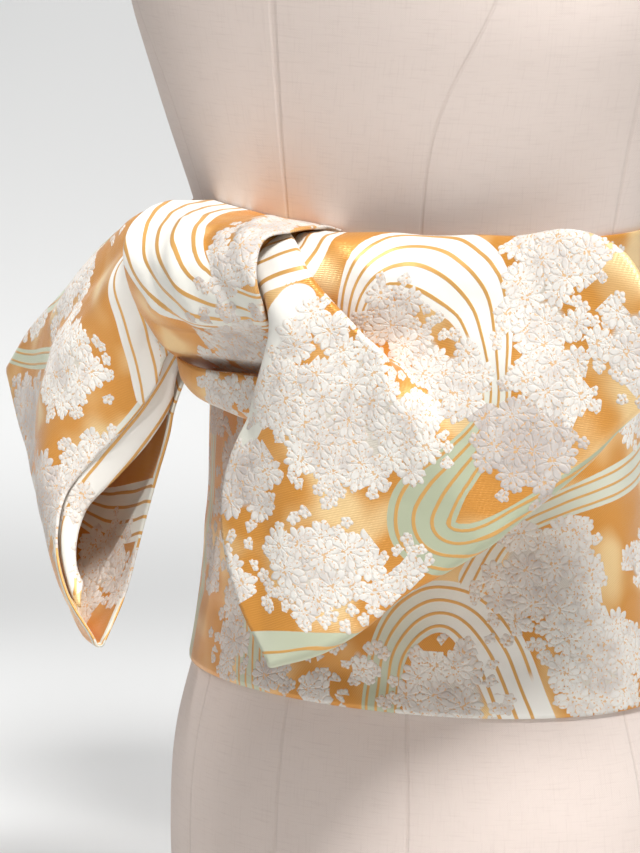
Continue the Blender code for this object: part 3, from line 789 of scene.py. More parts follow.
def inner_grid():
    """Second layer of the left wing: close under the first, and out below its free edge."""
    outer = left_front()
    under = (outer - normals(outer) * (CLOTH + SEAM_GAP + FACET_EASE))[:INNER_ROWS, INNER_FROM:]
    where = np.arange(INNER_ROWS) / INNER_FULL_ROWS * EDGE_PLACES
    free = between(curve(LEFT_INNER_LOWER, EDGE_PLACES), np.arange(EDGE_PLACES + 1), where)
    last = under[:, -1]
    out = np.stack([last + (free - last) * share for share in INNER_STEPS], axis=1)
    return np.concatenate([under, out], axis=1)


def right_grid():
    """The right wing: its pleated outer layer and, round the fold at its end, its back layer."""
    rows, columns = RIGHT_MESH
    across = np.linspace(0, 1, columns + 1)
    front = patch(RIGHT_UPPER, RIGHT_LOWER, RIGHT_ROOT, RIGHT_END, rows, across)
    front = pleated(bulged(front, -RIGHT_DIP, power=1.5))
    run = lengths(front[-1])
    back = back_layer(RIGHT_BACK_UPPER, RIGHT_BACK_LOWER, RIGHT_END, RIGHT_BACK_ROWS, run / run[-1])
    return loop(front, back, side=-1, reach=(15, 14))


# ---------------- materials
def sign(operation, swapped=False):
    """What one of the usual signs does between two values: it adds a Math node."""
    def method(value, other):
        values = (other, value) if swapped else (value, other)
        return value.finish.maths(operation, *values)
    return method


class Value:
    """A socket of a material, which the usual signs work on."""

    __add__ = __radd__ = sign("ADD")
    __sub__ = sign("SUBTRACT")
    __rsub__ = sign("SUBTRACT", swapped=True)
    __mul__ = __rmul__ = sign("MULTIPLY")
    __truediv__ = sign("DIVIDE")
    __pow__ = sign("POWER")
    __lt__ = sign("LESS_THAN")
    __gt__ = sign("GREATER_THAN")

    def __init__(self, finish, socket):
        self.finish = finish
        self.socket = socket

    def __abs__(self):
        return self.finish.maths("ABSOLUTE", self)


class Finish:
    """One material and the nodes that it is made of."""

    def __init__(self, name, **constants):
        self.material = bpy.data.materials.new(name)
        self.material.use_nodes = True
        self.tree = self.material.node_tree
        self.shader = self.tree.nodes["Principled BSDF"]
        self.shaded(**constants)

    def node(self, kind, settings=None, inputs=None, output=0):
        """A node of a kind, with its settings and then the values or links of its sockets."""
        made = self.tree.nodes.new(kind)
        for key, value in (settings or {}).items():
            setattr(made, key, value)
        for key, value in (inputs or {}).items():
            self.join(value, made.inputs[key])
        return Value(self, made.outputs[output])

    def join(self, value, socket):
        """A value on a socket, or a link to it."""
        if isinstance(value, Value):
            self.tree.links.new(value.socket, socket)
        else:
            socket.default_value = value

    def maths(self, operation, *values):
        return self.node("ShaderNodeMath", {"operation": operation}, dict(enumerate(values)))

    def vector(self, operation, *values):
        output = 1 if operation == "LENGTH" else 0
        return self.node("ShaderNodeVectorMath", {"operation": operation}, dict(enumerate(values)), output)

    def parts(self, value):
        """A vector's three numbers."""
        return [self.node("ShaderNodeSeparateXYZ", None, {0: value}, k) for k in range(3)]

    def joined(self, x, y):
        """A vector of two numbers."""
        return self.node("ShaderNodeCombineXYZ", None, {0: x, 1: y, 2: 0.0})

    def place(self):
        """The place on the flat cloth, in metres."""
        return self.node("ShaderNodeUVMap", {"uv_map": "cloth"})

    def attribute(self, name):
        """The three numbers that the piece's mesh keeps under a name."""
        return self.parts(self.node("ShaderNodeAttribute", {"attribute_name": name}, None, 1))

    def step(self, value, low, high):
        """0 below low and 1 above high, with a soft change between them; high may be the lower."""
        settings = {"interpolation_type": "SMOOTHSTEP"}
        inputs = {"Value": value, "From Min": low, "From Max": high}
        return self.node("ShaderNodeMapRange", settings, inputs)

    def inside(self, distance):
        """1 where a distance from an outline is below 0, else 0, with a soft rim."""
        return self.step(distance, SOFT_RIM, -SOFT_RIM)

    def noise(self, place, scale, detail):
        """Soft noise, 0 to 1."""
        inputs = {"Vector": place, "Scale": scale, "Detail": detail, "Roughness": 0.5}
        return self.node("ShaderNodeTexNoise", {"noise_dimensions": "2D"}, inputs)

    def mixed(self, share, one, other):
        """A colour between two colours."""
        inputs = {0: share, 6: as_colour(one), 7: as_colour(other)}
        return self.node("ShaderNodeMix", {"data_type": "RGBA"}, inputs, 2)

    def shaded(self, **values):
        """The shader's sockets, by their names with underscores."""
        for socket, value in values.items():
            self.join(value, self.shader.inputs[socket.replace("_", " ")])

    def bumped(self, layers):
        """Relief from several heights in metres, each with its own strength."""
        normal = None
        for height, strength in layers:
            inputs = {"Height": height, "Distance": 1.0, "Strength": strength}
            if normal is not None:
                inputs["Normal"] = normal
            normal = self.node("ShaderNodeBump", None, inputs)
        self.join(normal, self.shader.inputs["Normal"])


def as_colour(value):
    return value if isinstance(value, Value) else (*value, 1.0)


def linear(red, green, blue):
    """A colour given as it shows on a screen, 0 to 255, in the renderer's own measure."""
    parts = [c / 255 for c in (red, green, blue)]
    return tuple(c / 12.92 if c <= 0.04045 else ((c + 0.055) / 1.055) ** 2.4 for c in parts)


DEEP_GOLD = linear(226, 156, 68)
# Paler gold of the ground's soft clouds: painted satin sheen.
SHEEN_GOLD = linear(253, 218, 158)
DARK_THREAD = linear(168, 104, 44)
LINE_GOLD = linear(226, 172, 98)
SILK_WHITE = linear(246, 242, 234)
# Silver-lilac of the grey blossoms, and the grey that painted shade turns balls in shadow to.
LILAC_GREY = linear(204, 194, 188)
CREAM = linear(232, 224, 208)
MINT = linear(190, 196, 166)
OUTLINE = linear(222, 186, 150)
PALE_LINEN = linear(236, 221, 212)
DARK_LINEN = linear(216, 199, 190)
LINEN_GROOVE = linear(196, 176, 164)

BLOSSOM = 0.0160        # distance between neighbouring blossoms in a flower ball
SPRIG = 0.0062          # the same for the loose petals round a ball
TWILL = 0.0011          # distance between the twill's diagonal lines
SILK_THREADS = (0.0007, 0.0006)     # distances between its threads, along and across
LINEN_THREAD = 0.0010
SOFT_RIM = 0.0002       # half the width over which one colour gives way to the next
LINE_HALF = (0.0004, 0.030)         # half width of a gold line: metres, and share of the stream's
LINE_WANDER = 0.16      # how far the gold lines wander, as a share of the stream's half width
BANK_WANDER = 0.0006    # how far the banks do
ALWAYS_WHOLE = 2.5      # streams with fewer lines than this have no breaks in them
# Patches of soft noise in a metre, and heights of relief in metres.
NOISE = {"clouds": 26.0, "wander": 30.0, "slack": 45.0, "shade": 110.0, "speckle": 620.0}
RELIEF = {
    "twill": 0.00008, "line": 0.00015, "bed": 0.0002, "petals": 0.0005, "threads": 0.00004,
    "slack": 0.0016,
}
LINEN_SLUBS = ((60.0, 900.0, 1.0), (900.0, 60.0, 1.0))     # slubs in a metre along x and y, for each set
# A blossom, each as a least share and what is added to it: its size in the spacing, and how far its
# outer and its inner petals reach in that size.
BLOSSOM_SIZE = (0.56, 0.14)
OUTER_PETALS = (0.70, 0.30)
INNER_PETALS = (0.34, 0.16)
PETAL_POWER = 1.1       # how soon a petal narrows away from its middle
# How much each of these greys the silk: chance, soft patches, the ball's greyness and its depth; greyness
# over 1 is painted shade.
DULLING = {"chance": 0.2, "shade": 0.3, "grey_and_shade": 0.45, "deep": 0.25}
FLOWER_COLUMNS = ("shift", "spacing", "petals", "loose", "reach", "rarity")
FLOWER_LAYERS = (
    ((0.517, 0.233), SPRIG, 5, 0.9, 0.0055, 0.50),
    ((0.311, 0.173), BLOSSOM * 0.85, 9, 0.5, -0.0010, 0.0),
    ((0.0, 0.0), BLOSSOM, 10, 0.6, -0.0035, 0.0),
)


def waves(f, run, spacing):
    """A sine wave along a run of metres, one wave to each spacing."""
    return f.maths("SINE", run * (2 * math.pi / spacing))


def in_ball(f, balls, local):
    """How far outside the two nearest flower balls a blossom's own centre lies."""
    gaps = []
    for way, radius in balls:
        gaps.append(f.vector("LENGTH", f.vector("SUBTRACT", way, local)) - radius)
    return f.maths("MINIMUM", *gaps)


def blossoms(f, place, layer):
    """A layer of double blossoms, each about the nearest of a set of scattered centres."""
    spacing, petals = layer["spacing"], layer["petals"]
    moved = f.vector("ADD", place, (*layer["shift"], 0.0))
    inputs = {"Vector": moved, "Scale": 1 / spacing, "Randomness": layer["loose"]}
    centre = f.node("ShaderNodeTexVoronoi", {"voronoi_dimensions": "2D"}, inputs, 2)
    chance = f.parts(f.node("ShaderNodeTexWhiteNoise", {"noise_dimensions": "2D"}, {"Vector": centre}, 1))
    local = f.vector("SUBTRACT", moved, centre)
    x, y, _ = f.parts(local)
    out = f.vector("LENGTH", local)
    angle = (f.maths("ARCTAN2", y, x) + chance[0] * (2 * math.pi)) * (petals / 2)
    lobe = abs(f.maths("COSINE", angle))
    gap = abs(f.maths("SINE", angle))
    size = spacing * (BLOSSOM_SIZE[0] + BLOSSOM_SIZE[1] * chance[1])
    return {
        "edge": size * (OUTER_PETALS[0] + OUTER_PETALS[1] * lobe ** PETAL_POWER) - out,
        "heart": size * (INNER_PETALS[0] + INNER_PETALS[1] * gap ** PETAL_POWER) - out,
        "between": lobe * out * (2 / petals),
        "share": out / size,
        "local": local,
        "chance": chance[2],
    }


def petal_relief(f, flower):
    """0 to 1: plump petals of the outer ring, and the inner ring standing on them."""
    outer = f.step(flower["edge"], 0.0, 0.0016) * f.step(flower["between"], 0.0, 0.0009)
    inner = f.step(flower["heart"], 0.0, 0.0012)
    return outer * 0.6 + inner * 0.4


def petal_lines(f, flower):
    """1 on the fine lines round and between the petals."""
    rim = f.step(flower["edge"], 0.0006, 0.0003)
    ring = f.step(abs(flower["heart"]), 0.0004, 0.0002)
    rays = f.step(flower["between"], 0.00035, 0.00015) * (flower["heart"] < 0.0)
    return f.maths("MAXIMUM", f.maths("MAXIMUM", rim, ring), rays)


def gold_ground(f, uv, twill, sheen_clouds):
    """Colour of the gold twill: soft clouds of a paler gold, which are painted satin sheen, and dark
    threads.
    """
    ground = f.mixed(f.step(sheen_clouds, 0.46, 0.74), DEEP_GOLD, SHEEN_GOLD)
    return f.mixed(0.16 * f.step(twill, -0.4, 0.9), ground, DARK_THREAD)


def water(f, uv, along, mint):
    """The streams: 1 inside one, 1 on its gold lines, and its colour."""
    across, outside, half = f.attribute("stream")
    lines = f.attribute("lines")[0]
    wander = f.noise(uv, NOISE["wander"], 1.0) - 0.5
    lane = (across + wander * LINE_WANDER + 1.0) * 0.5 * lines
    from_line = abs(f.maths("FRACT", lane) - 0.5) * half * 2.0 / lines
    line = f.inside(from_line - (LINE_HALF[0] + half * LINE_HALF[1]))
    run = f.joined(f.maths("FLOOR", lane) * 7.3, along * 9.0)
    line = line * f.maths("MAXIMUM", f.step(f.noise(run, 1.0, 0.0), 0.20, 0.24), lines < ALWAYS_WHOLE)
    colour = f.mixed(line, f.mixed(mint, SILK_WHITE, MINT), LINE_GOLD)
    return f.inside(outside + wander * BANK_WANDER), line, colour


def flower_silk(f, flower, dull, speckle):
    """Colour of the blossoms: white to grey, with fine outlines and flecks of gold."""
    silk = f.mixed(dull, SILK_WHITE, LILAC_GREY)
    silk = f.mixed(petal_lines(f, flower) * 0.28, silk, OUTLINE)
    fleck = f.step(flower["share"], 0.34, 0.10) * 0.16 + speckle
    return f.mixed(f.step(fleck, 0.66, 0.70) * 0.75, silk, LINE_GOLD)


def brocade():
    """Woven silk: gold twill ground, streams of water in white and mint, balls of blossoms."""
    f = Finish("silk_brocade", Sheen_Weight=0.20, Sheen_Roughness=0.35, Specular_IOR_Level=0.5)
    uv = f.place()
    x, y, _ = f.parts(uv)
    along, mint, grey_and_shade = f.attribute("woven")
    twill = waves(f, x + y * 0.8, TWILL)
    # Soft clouds of painted satin sheen on the gold ground; they also vary its roughness.
    sheen_clouds = f.noise(uv, NOISE["clouds"], 1.0)
    in_stream, line, water_colour = water(f, uv, along, mint)
    colour = f.mixed(in_stream, gold_ground(f, uv, twill, sheen_clouds), water_colour)
    gold = (1 - in_stream) + line * in_stream
    height = f.step(twill, -1.0, 1.0) * RELIEF["twill"] * (1 - in_stream)
    height = height + line * in_stream * RELIEF["line"]

    balls = []
    for name in ("ball", "next_ball"):
        away_x, away_y, radius = f.attribute(name)
        balls.append((f.joined(away_x, away_y), radius))
    here = in_ball(f, balls, (0.0, 0.0, 0.0))
    colour = f.mixed(f.step(here, -0.006, -0.010), colour, f.mixed(grey_and_shade, CREAM, LILAC_GREY))
    deep = f.step(here, -0.008, -0.020)
    speckle = f.noise(uv, NOISE["speckle"], 1.0)
    shade = f.step(f.noise(uv, NOISE["shade"], 1.0), 0.45, 0.72)
    for row in FLOWER_LAYERS:
        layer = dict(zip(FLOWER_COLUMNS, row))
        flower = blossoms(f, uv, layer)
        shown = (in_ball(f, balls, flower["local"]) < layer["reach"]) * (flower["chance"] > layer["rarity"])
        on = f.step(flower["edge"], 0.0, SOFT_RIM) * shown
        dull = f.step(flower["chance"], 0.2, 1.0) * DULLING["chance"] + shade * DULLING["shade"]
        # A greyness over 1 greys the blossoms further: painted shade on balls in shadow.
        dull = dull + grey_and_shade * DULLING["grey_and_shade"] + deep * DULLING["deep"]
        colour = f.mixed(on, colour, flower_silk(f, flower, dull, speckle))
        gold = gold * (1 - on)
        petals = RELIEF["bed"] + petal_relief(f, flower) * RELIEF["petals"]
        height = height * (1 - on) + on * petals
    f.shaded(Base_Color=colour, Roughness=0.50 - 0.16 * gold + 0.06 * sheen_clouds, Metallic=0.26 * gold)
    weave = waves(f, x, SILK_THREADS[0]) * waves(f, y, SILK_THREADS[1]) * RELIEF["threads"]
    slack = f.noise(uv, NOISE["slack"], 1.0) * RELIEF["slack"]
    f.bumped([(height, 0.9), (weave, 0.6), (slack, 0.6)])
    return f.material


def linen():
    """Plain linen with slubs, and a fine seam line where the attribute says one runs."""
    f = Finish("linen_cover", Sheen_Weight=0.15, Specular_IOR_Level=0.25)
    uv = f.place()
    x, y, _ = f.parts(uv)
    wander = (f.noise(uv, 90.0, 2.0) - 0.5) * 1.2
    warp = f.maths("SINE", x * (2 * math.pi / LINEN_THREAD) + wander)
    weft = f.maths("SINE", y * (2 * math.pi / LINEN_THREAD) + wander)
    long_slub, tall_slub = (f.noise(f.vector("MULTIPLY", uv, slubs), 1.0, 3.0) for slubs in LINEN_SLUBS)
    shade = f.step(long_slub, 0.50, 0.85) * 0.30 + f.step(tall_slub, 0.50, 0.85) * 0.25
    groove = 0.0
    for away in f.attribute("seam"):
        groove = f.maths("MAXIMUM", groove, f.step(abs(away), 0.0014, 0.0003))
    colour = f.mixed(shade, PALE_LINEN, DARK_LINEN)
    f.shaded(Base_Color=f.mixed(groove * 0.16, colour, LINEN_GROOVE), Roughness=0.85)
    f.bumped([(warp * weft * 0.00005 + shade * 0.00010 - groove * 0.0005, 0.7)])
    return f.material


# ---------------- dress form
# The princess seams: height, and distance round from the centre seam.
SEAM_SPREAD = (
    (0.00, 0.072), (0.20, 0.072), (0.32, 0.078), (0.41, 0.081), (0.45, 0.079), (0.48, 0.086),
    (0.52, 0.104), (0.60, 0.130), (0.80, 0.150),
)
SEAM_EASE = 0.025       # heights within this of one another are averaged in it


def seams(flat):
    """Round to the nearer centre seam, to the nearer princess seam and to the nearer side seam."""
    half = flat[0, -1, 0] / 2
    out = np.abs(flat[..., 0] - half)
    centre = np.minimum(out, half - out)
    near = [flat[..., 1] + rise for rise in np.linspace(-SEAM_EASE, SEAM_EASE, 9)]
    spread = np.mean([np.interp(height, *zip(*SEAM_SPREAD)) for height in near], axis=0)
    return np.stack([centre, centre - spread, out - half / 2], axis=2)


def dress_form():
    """The linen form: smooth, whole, with its seams' places kept for its finish."""
    rows, sides = FORM_MESH
    heights = np.linspace(0.0, FORM_HEIGHT - FORM_TOP_EDGE, rows + 1)
    grid = smooth_sections(heights, round_angles(sides))
    flat = unrolled(grid, heights)
    mesh, i, j = grid_mesh("linen_form", grid, flat, closed=True)
    keep(mesh, "seam", seams(flat)[i, j])
    work = bmesh.new()
    work.from_mesh(mesh)
    bmesh.ops.holes_fill(work, edges=[edge for edge in work.edges if edge.is_boundary], sides=0)
    bmesh.ops.recalc_face_normals(work, faces=work.faces)
    work.to_mesh(mesh)
    work.free()
    mesh.set_sharp_from_angle(angle=math.radians(50))
    dress(in_scene("linen_form", mesh), linen(), "dress_form")


# ---------------- pattern layout, in mm of cloth
# Greyness over 1 in these tables is painted shade on balls that lie in shadow.
WRAP_BALLS = (
    (446, -235, 22, 0.4), (431, -242, 15, 0.4), (456, -216, 11, 0.4), (496, -172, 30, 0.5),
    (478, -186, 16, 0.4), (522, -220, 28, 0.2), (503, -207, 13, 0.3), (560, -173, 16, 0.6),
    (398, -218, 9, 0.3), (375, -239, 14, 0.6), (345, -230, 13, 1.2), (308, -224, 18, 1.4),
    (275, -187, 15, 1.4), (300, -126, 16, 1.5), (236, -146, 16, 1.2), (268, -108, 13, 1.5),
    (282, -150, 12, 1.5), (305, -196, 13, 1.4), (345, -90, 22, 0.5), (560, -85, 24, 0.2),
    (600, -60, 15, 0.2), (585, -225, 14, 0.3), (480, -75, 24, 0.4), (415, -60, 22, 0.2),
    (520, -22, 20, 0.2), (256, -50, 26, 0.3), (225, -82, 15, 0.3), (105, -45, 27, 0.2),
    (137, -68, 14, 0.3), (60, -150, 25, 0.4), (92, -176, 17, 0.4), (165, -205, 26, 0.2),
    (128, -228, 14, 0.2), (172, -128, 13, 0.6), (45, -50, 13, 0.2), (640, -150, 26, 0.3),
    (665, -123, 14, 0.3), (655, -30, 19, 0.3), (625, -210, 12, 0.2),
)
WRAP_COURSES = (
    (4, ((412, -275, 10, 0.9), (411, -234, 10, 0.9), (414, -214, 10, 0.7), (424, -198, 12, 0.5),
        (437, -189, 13, 0.3), (451, -190, 14, 0.1), (463, -201, 15, 0.0), (471, -218, 15, 0.0),
        (477, -237, 14, 0.0), (484, -262, 14, 0.0), (488, -285, 14, 0.0))),
    (3, ((720, -50, 8, 0.0), (680, -64, 9, 0.0), (640, -85, 10, 0.1), (600, -108, 10, 0.3),
        (569, -122, 10, 0.5), (528, -131, 9, 0.6), (500, -138, 7, 0.6), (472, -152, 7, 0.3),
        (459, -175, 8, 0.2))),
    (4, ((336, -270, 11, 0.8), (322, -200, 11, 0.7), (333, -150, 12, 0.4), (368, -125, 12, 0.1),
        (400, -105, 14, 0.0), (440, -100, 12, 0.0))),
    (4, ((212, 20, 13, 0.1), (190, -45, 16, 0.0), (198, -110, 13, 0.2), (226, -180, 12, 0.8),
        (232, -270, 14, 0.9))),
    (2, ((290, -60, 7, 0.2), (262, -130, 6, 0.6), (262, -165, 6, 0.8), (248, -230, 7, 0.9),
        (252, -280, 8, 0.9))),
    (4, ((20, 20, 12, 0.5), (14, -60, 11, 0.3), (30, -105, 13, 0.0), (85, -110, 16, 0.0),
        (125, -130, 14, 0.2), (120, -170, 10, 0.6), (78, -215, 11, 0.9), (60, -270, 14, 0.9))),
    (3, ((700, -270, 11, 0.8), (690, -190, 10, 0.6), (700, -110, 9, 0.2), (694, -60, 8, 0.0),
        (700, 20, 10, 0.0))),
)
TIE_BALLS = (
    (93, 26, 17, 0.8), (70, 36, 18, 0.7), (138, -4, 24, 0.9), (126, 16, 12, 0.9), (30, 47, 20, 0.4),
    (146, -42, 14, 0.7),
)
TIE_COURSES = (
    (5, ((-30, -50, 30, 0.0), (10, -43, 30, 0.0), (40, -36, 30, 0.0), (64, -28, 29, 0.0),
        (84, -17, 26, 0.1), (99, -4, 21, 0.1), (110, 11, 16, 0.2), (119, 28, 12, 0.2),
        (130, 50, 10, 0.2))),
)
SLING_BALLS = (
    (47, -20, 14, 0.7), (70, -22, 12, 0.6), (50, 20, 15, 0.6),
)
LEFT_BALLS = (
    (94, 0, 26, 0.0), (76, 14, 18, 0.0), (110, -22, 14, 0.2), (110, 54, 17, 0.1), (92, 60, 10, 0.1),
    (102, -56, 19, 0.5), (76, -46, 13, 0.4), (126, -44, 10, 0.6), (180, -20, 24, 1.5),
    (148, 48, 21, 1.3), (136, 76, 13, 0.6), (172, 62, 18, 1.3), (194, -47, 13, 1.4),
    (215, 87, 22, 0.3), (197, 98, 12, 0.5), (221, 122, 15, 0.5), (165, 16, 13, 1.4),
    (30, -58, 12, 0.6), (162, -78, 12, 0.4), (230, -30, 24, 0.4), (290, 5, 26, 0.4),
    (332, -50, 20, 0.3), (262, 36, 12, 0.4), (362, 10, 20, 0.3), (200, 14, 13, 0.6),
    (262, -72, 14, 0.4), (350, 85, 16, 0.4),
)
LEFT_COURSES = (
    (2, ((0, -20, 8, 0.0), (17, -3, 9.5, 0.0), (29, 14, 10, 0.0), (41, 31, 9.5, 0.0), (53, 47, 8, 0.0),
        (63, 62, 6, 0.0))),
    (2, ((-12, 2, 6, 0.1), (6, 15, 6, 0.1), (20, 30, 6, 0.1), (34, 46, 6, 0.1), (48, 62, 5, 0.1))),
    (2, ((220, -92, 5, 0.9), (176, -60, 5, 0.9), (141, -38, 6, 0.9), (118, -22, 5, 0.9),
        (98, -6, 4, 0.9))),
    (2, ((20, -90, 8, 0.9), (50, -74, 9, 0.9), (80, -66, 9, 0.9), (112, -68, 9, 0.8),
        (160, -86, 9, 0.7))),
    (4, ((208, 15, 8, 0.2), (217, 40, 10, 0.1), (228, 62, 14, 0.2), (250, 92, 17, 0.2),
        (276, 122, 16, 0.2))),
    (4, ((400, -30, 14, 0.1), (345, -15, 14, 0.0), (310, -45, 13, 0.3), (270, -50, 12, 0.7),
        (236, -85, 12, 0.9))),
    (4, ((325, 130, 13, 0.3), (322, 62, 13, 0.3), (400, 50, 13, 0.3))),
)
INNER_BALLS = (
    (118, 22, 10, 0.3), (60, -12, 14, 0.3), (140, 45, 8, 0.4),
)
INNER_COURSES = (
    (2, ((10, 20, 10, 0.0), (43, 21, 11, 0.0), (75, 20, 12, 0.0), (103, 18, 12, 0.0),
        (127, 22, 11, 0.1), (150, 45, 10, 0.1))),
)
RIGHT_BALLS = (
    (116, 37, 34, 0.1), (133, 10, 23, 0.0), (108, 102, 22, 0.8), (87, 58, 16, 0.4), (168, 92, 26, 0.1),
    (172, 69, 16, 0.1), (146, 133, 14, 0.2), (196, 68, 9, 0.0), (192, 51, 11, 0.0), (83, -33, 15, 0.6),
    (109, -30, 16, 0.2), (131, -33, 18, 0.2), (125, -109, 25, 0.2), (138, -128, 13, 0.2),
    (145, -84, 21, 0.2), (170, -68, 22, 0.3), (179, -38, 27, 1.5), (187, -114, 23, 0.3),
    (73, 18, 16, 0.1), (68, 38, 9, 0.1), (101, 18, 18, 0.1), (20, 105, 16, 0.3), (52, 92, 14, 0.4),
    (262, -20, 26, 0.5), (246, 68, 24, 0.4), (290, 40, 17, 0.5), (318, -52, 27, 0.4),
    (338, 20, 24, 0.5), (268, -98, 21, 0.4), (352, -108, 24, 0.3), (366, -20, 16, 0.4),
    (235, 118, 15, 0.5), (300, 96, 19, 0.5), (40, -105, 20, 0.2), (80, -118, 14, 0.2),
)
RIGHT_COURSES = (
    (4, ((98, 10, 4, 0.0), (80, -10, 5, 0.0), (64, -24, 8, 0.0), (57, -44, 15, 0.0),
        (65, -60, 21, 0.0), (83, -70, 22, 0.0), (109, -71, 20, 0.0), (130, -61, 13, 0.0),
        (144, -51, 9, 0.1), (155, -41, 8, 0.4), (162, -26, 9, 0.9), (164, -4, 12, 1.0),
        (168, 18, 17, 1.0), (178, 32, 19, 1.0), (191, 30, 16, 1.0), (201, 16, 12, 1.0),
        (205, -4, 10, 1.0), (209, -29, 9, 1.0), (216, -55, 11, 1.0), (224, -87, 13, 1.0),
        (240, -135, 14, 0.9))),
    (1, ((176, 170, 12, 0.5), (186, 147, 12, 0.6), (192, 135, 12, 0.8), (198, 117, 9, 0.9),
        (205, 96, 5, 0.9), (212, 78, 2, 0.8))),
    (NONE, ((50, 24, 9, 0.0), (62, 44, 12, 0.1), (76, 68, 13, 0.2), (87, 91, 12, 0.3),
        (94, 110, 9, 0.6))),
    (4, ((-20, 76, 22, 0.0), (4, 46, 24, 0.0), (18, 12, 25, 0.0), (14, -24, 23, 0.0),
        (-10, -55, 20, 0.0))),
    (4, ((400, 70, 14, 0.2), (345, 60, 15, 0.1), (308, 10, 17, 0.2), (298, -45, 13, 0.6),
        (262, -66, 12, 0.9), (250, -40, 10, 0.9), (240, 10, 10, 0.6), (262, 100, 13, 0.3),
        (270, 160, 13, 0.3))),
)
KNOT_BALLS = (
    (20, 50, 14, 0.5), (60, 110, 16, 0.5), (24, 150, 14, 0.5),
)
NO_COURSE = ((1, ((3000, 3000, 3, 0.0), (3100, 3000, 3, 0.0))),)

# ---------------- creases, in mm of cloth
WRAP_CREASES = (
    (300, -30, 520, -52, -0.9, 8), (340, -60, 560, -95, 0.6, 9), (250, -205, 420, -232, -0.8, 7),
    (400, -215, 560, -190, 0.5, 10), (440, -160, 640, -120, -0.6, 9), (30, -70, 230, -50, -0.8, 8),
    (60, -190, 260, -170, 0.6, 10), (560, -215, 690, -200, -0.7, 7),
)
TIE_CREASES = (
    (56, -40, 112, -22, -1.8, 6), (50, -16, 108, -4, 2.4, 6.2), (66, 6, 120, 24, -2, 5.2),
    (40, 26, 108, 40, 2, 6), (100, -40, 126, 34, 2.2, 5.2), (112, -56, 138, 22, -2, 5),
    (124, -66, 150, 0, 2.2, 4.8), (12, -58, 60, -56, 1.2, 8), (10, -2, 48, 4, -1.2, 7),
    (12, 46, 80, 56, -1.4, 6),
)
LEFT_CREASES = (
    (0, -44, 130, -58, 2.2, 8), (0, -22, 100, -36, -2, 7), (0, -6, 120, 0, 2.6, 9),
    (10, 20, 125, 50, -1.6, 8), (20, 42, 110, 75, 1.6, 7), (80, 20, 175, 44, 1.8, 12),
    (120, -40, 190, -20, -1.8, 12), (230, 20, 340, 30, -1.8, 10), (240, -40, 380, -30, 1.6, 12),
    (220, 70, 300, 90, 1.6, 9),
)
RIGHT_CREASES = (
    (0, -60, 90, -85, 2, 8), (0, -30, 60, -40, -1.8, 6), (0, 0, 50, -4, 1.4, 6),
    (4, 36, 60, 34, -1.6, 6), (4, 58, 90, 88, 1.8, 7), (80, 52, 190, 112, -2.4, 15),
    (90, 16, 205, 58, 2.2, 16), (110, -10, 200, 10, -1.6, 12), (100, -98, 205, -76, 1.8, 14),
    (70, -50, 150, -58, -1.4, 10), (60, -122, 190, -132, -1.6, 10), (130, 100, 190, 140, 1.4, 8),
    (260, -60, 380, -90, 1.8, 10), (270, 0, 380, -20, -1.8, 12), (260, 60, 360, 30, 1.6, 10),
)


# ---------------- pieces of the sash
def cloth_piece(name, node, grid, silk, balls, courses, creases=(), trimmed=0, tube=None):
    """One piece of silk: laid flat for its pattern, creased, thickened and dressed.

    trimmed is the number of rows with a trimmed edge, and tube is a tube's places laid flat.
    """
    closed = tube is not None
    flat = tube if closed else laid_flat(grid)
    if trimmed:
        courses = (*courses, edge_trim(flat, trimmed))
    piece = shell(name, creased(grid, flat, creases, closed), flat, balls, courses, closed)
    return dress(piece, silk, node)


def sash_wrap(silk):
    """The turn of the strip round the body."""
    grid = wrap_grid()
    flat = unrolled(grid, -lengths(grid[:, 0]))
    piece = cloth_piece("sash_wrap", "obi_wrap", grid, silk, WRAP_BALLS, WRAP_COURSES, WRAP_CREASES,
                        tube=flat)


def sash_tie(silk):
    """The band over the knot."""
    piece = cloth_piece("sash_tie", "obi_tie", tie_grid(), silk, TIE_BALLS, TIE_COURSES, TIE_CREASES)


def sash_sling(silk):
    """The end of the band, tucked under the knot."""
    piece = cloth_piece("sash_sling", "obi_sling", sling_grid(), silk, SLING_BALLS, NO_COURSE)


def bow_left(silk):
    """The left wing, trimmed along the lower edge of both its layers."""
    piece = cloth_piece("bow_left", "obi_wing_left", left_grid(), silk, LEFT_BALLS, LEFT_COURSES,
                        LEFT_CREASES, trimmed=LEFT_TRIMMED_ROWS)


def bow_left_inner(silk):
    """The left wing's second layer, trimmed along its whole free edge."""
    piece = cloth_piece("bow_left_inner", "obi_wing_left_inner", inner_grid(), silk, INNER_BALLS,
                        INNER_COURSES, trimmed=INNER_ROWS)


def bow_right(silk):
    """The right wing, with its pleat."""
    piece = cloth_piece("bow_right", "obi_wing_right", right_grid(), silk, RIGHT_BALLS, RIGHT_COURSES,
                        RIGHT_CREASES)


def sash_knot(silk):
    """The gathered cloth inside the tie."""
    grid = knot_grid()
    flat = unrolled(grid, lengths(grid[:, 0]))
    piece = cloth_piece("sash_knot", "obi_knot", grid, silk, KNOT_BALLS, NO_COURSE, tube=flat)


# ---------------- camera, lights and floor
LOOKS_AT = Vector((0.0379, 0.0392, 0.2886))     # where the camera looks
AZIMUTH = 226.0         # from which side, in degrees
ELEVATION = 9.0
DISTANCE = 3.0
LENS_MM = 240.56
SENSOR_MM = 36.0
LEFT_WING_MIDDLE = Vector((0.105, 0.130, 0.345))
FLOOR_HALF = 30.0
FLOOR_LIGHT_WIDTH = 2.2
FLOOR_LIGHT_SPREAD = 50     # degrees


def direction(azimuth, elevation):
    """From the object towards an eye at an azimuth and elevation, in degrees."""
    a, e = math.radians(azimuth), math.radians(elevation)
    return Vector((math.sin(a) * math.cos(e), -math.cos(a) * math.cos(e), math.sin(e)))


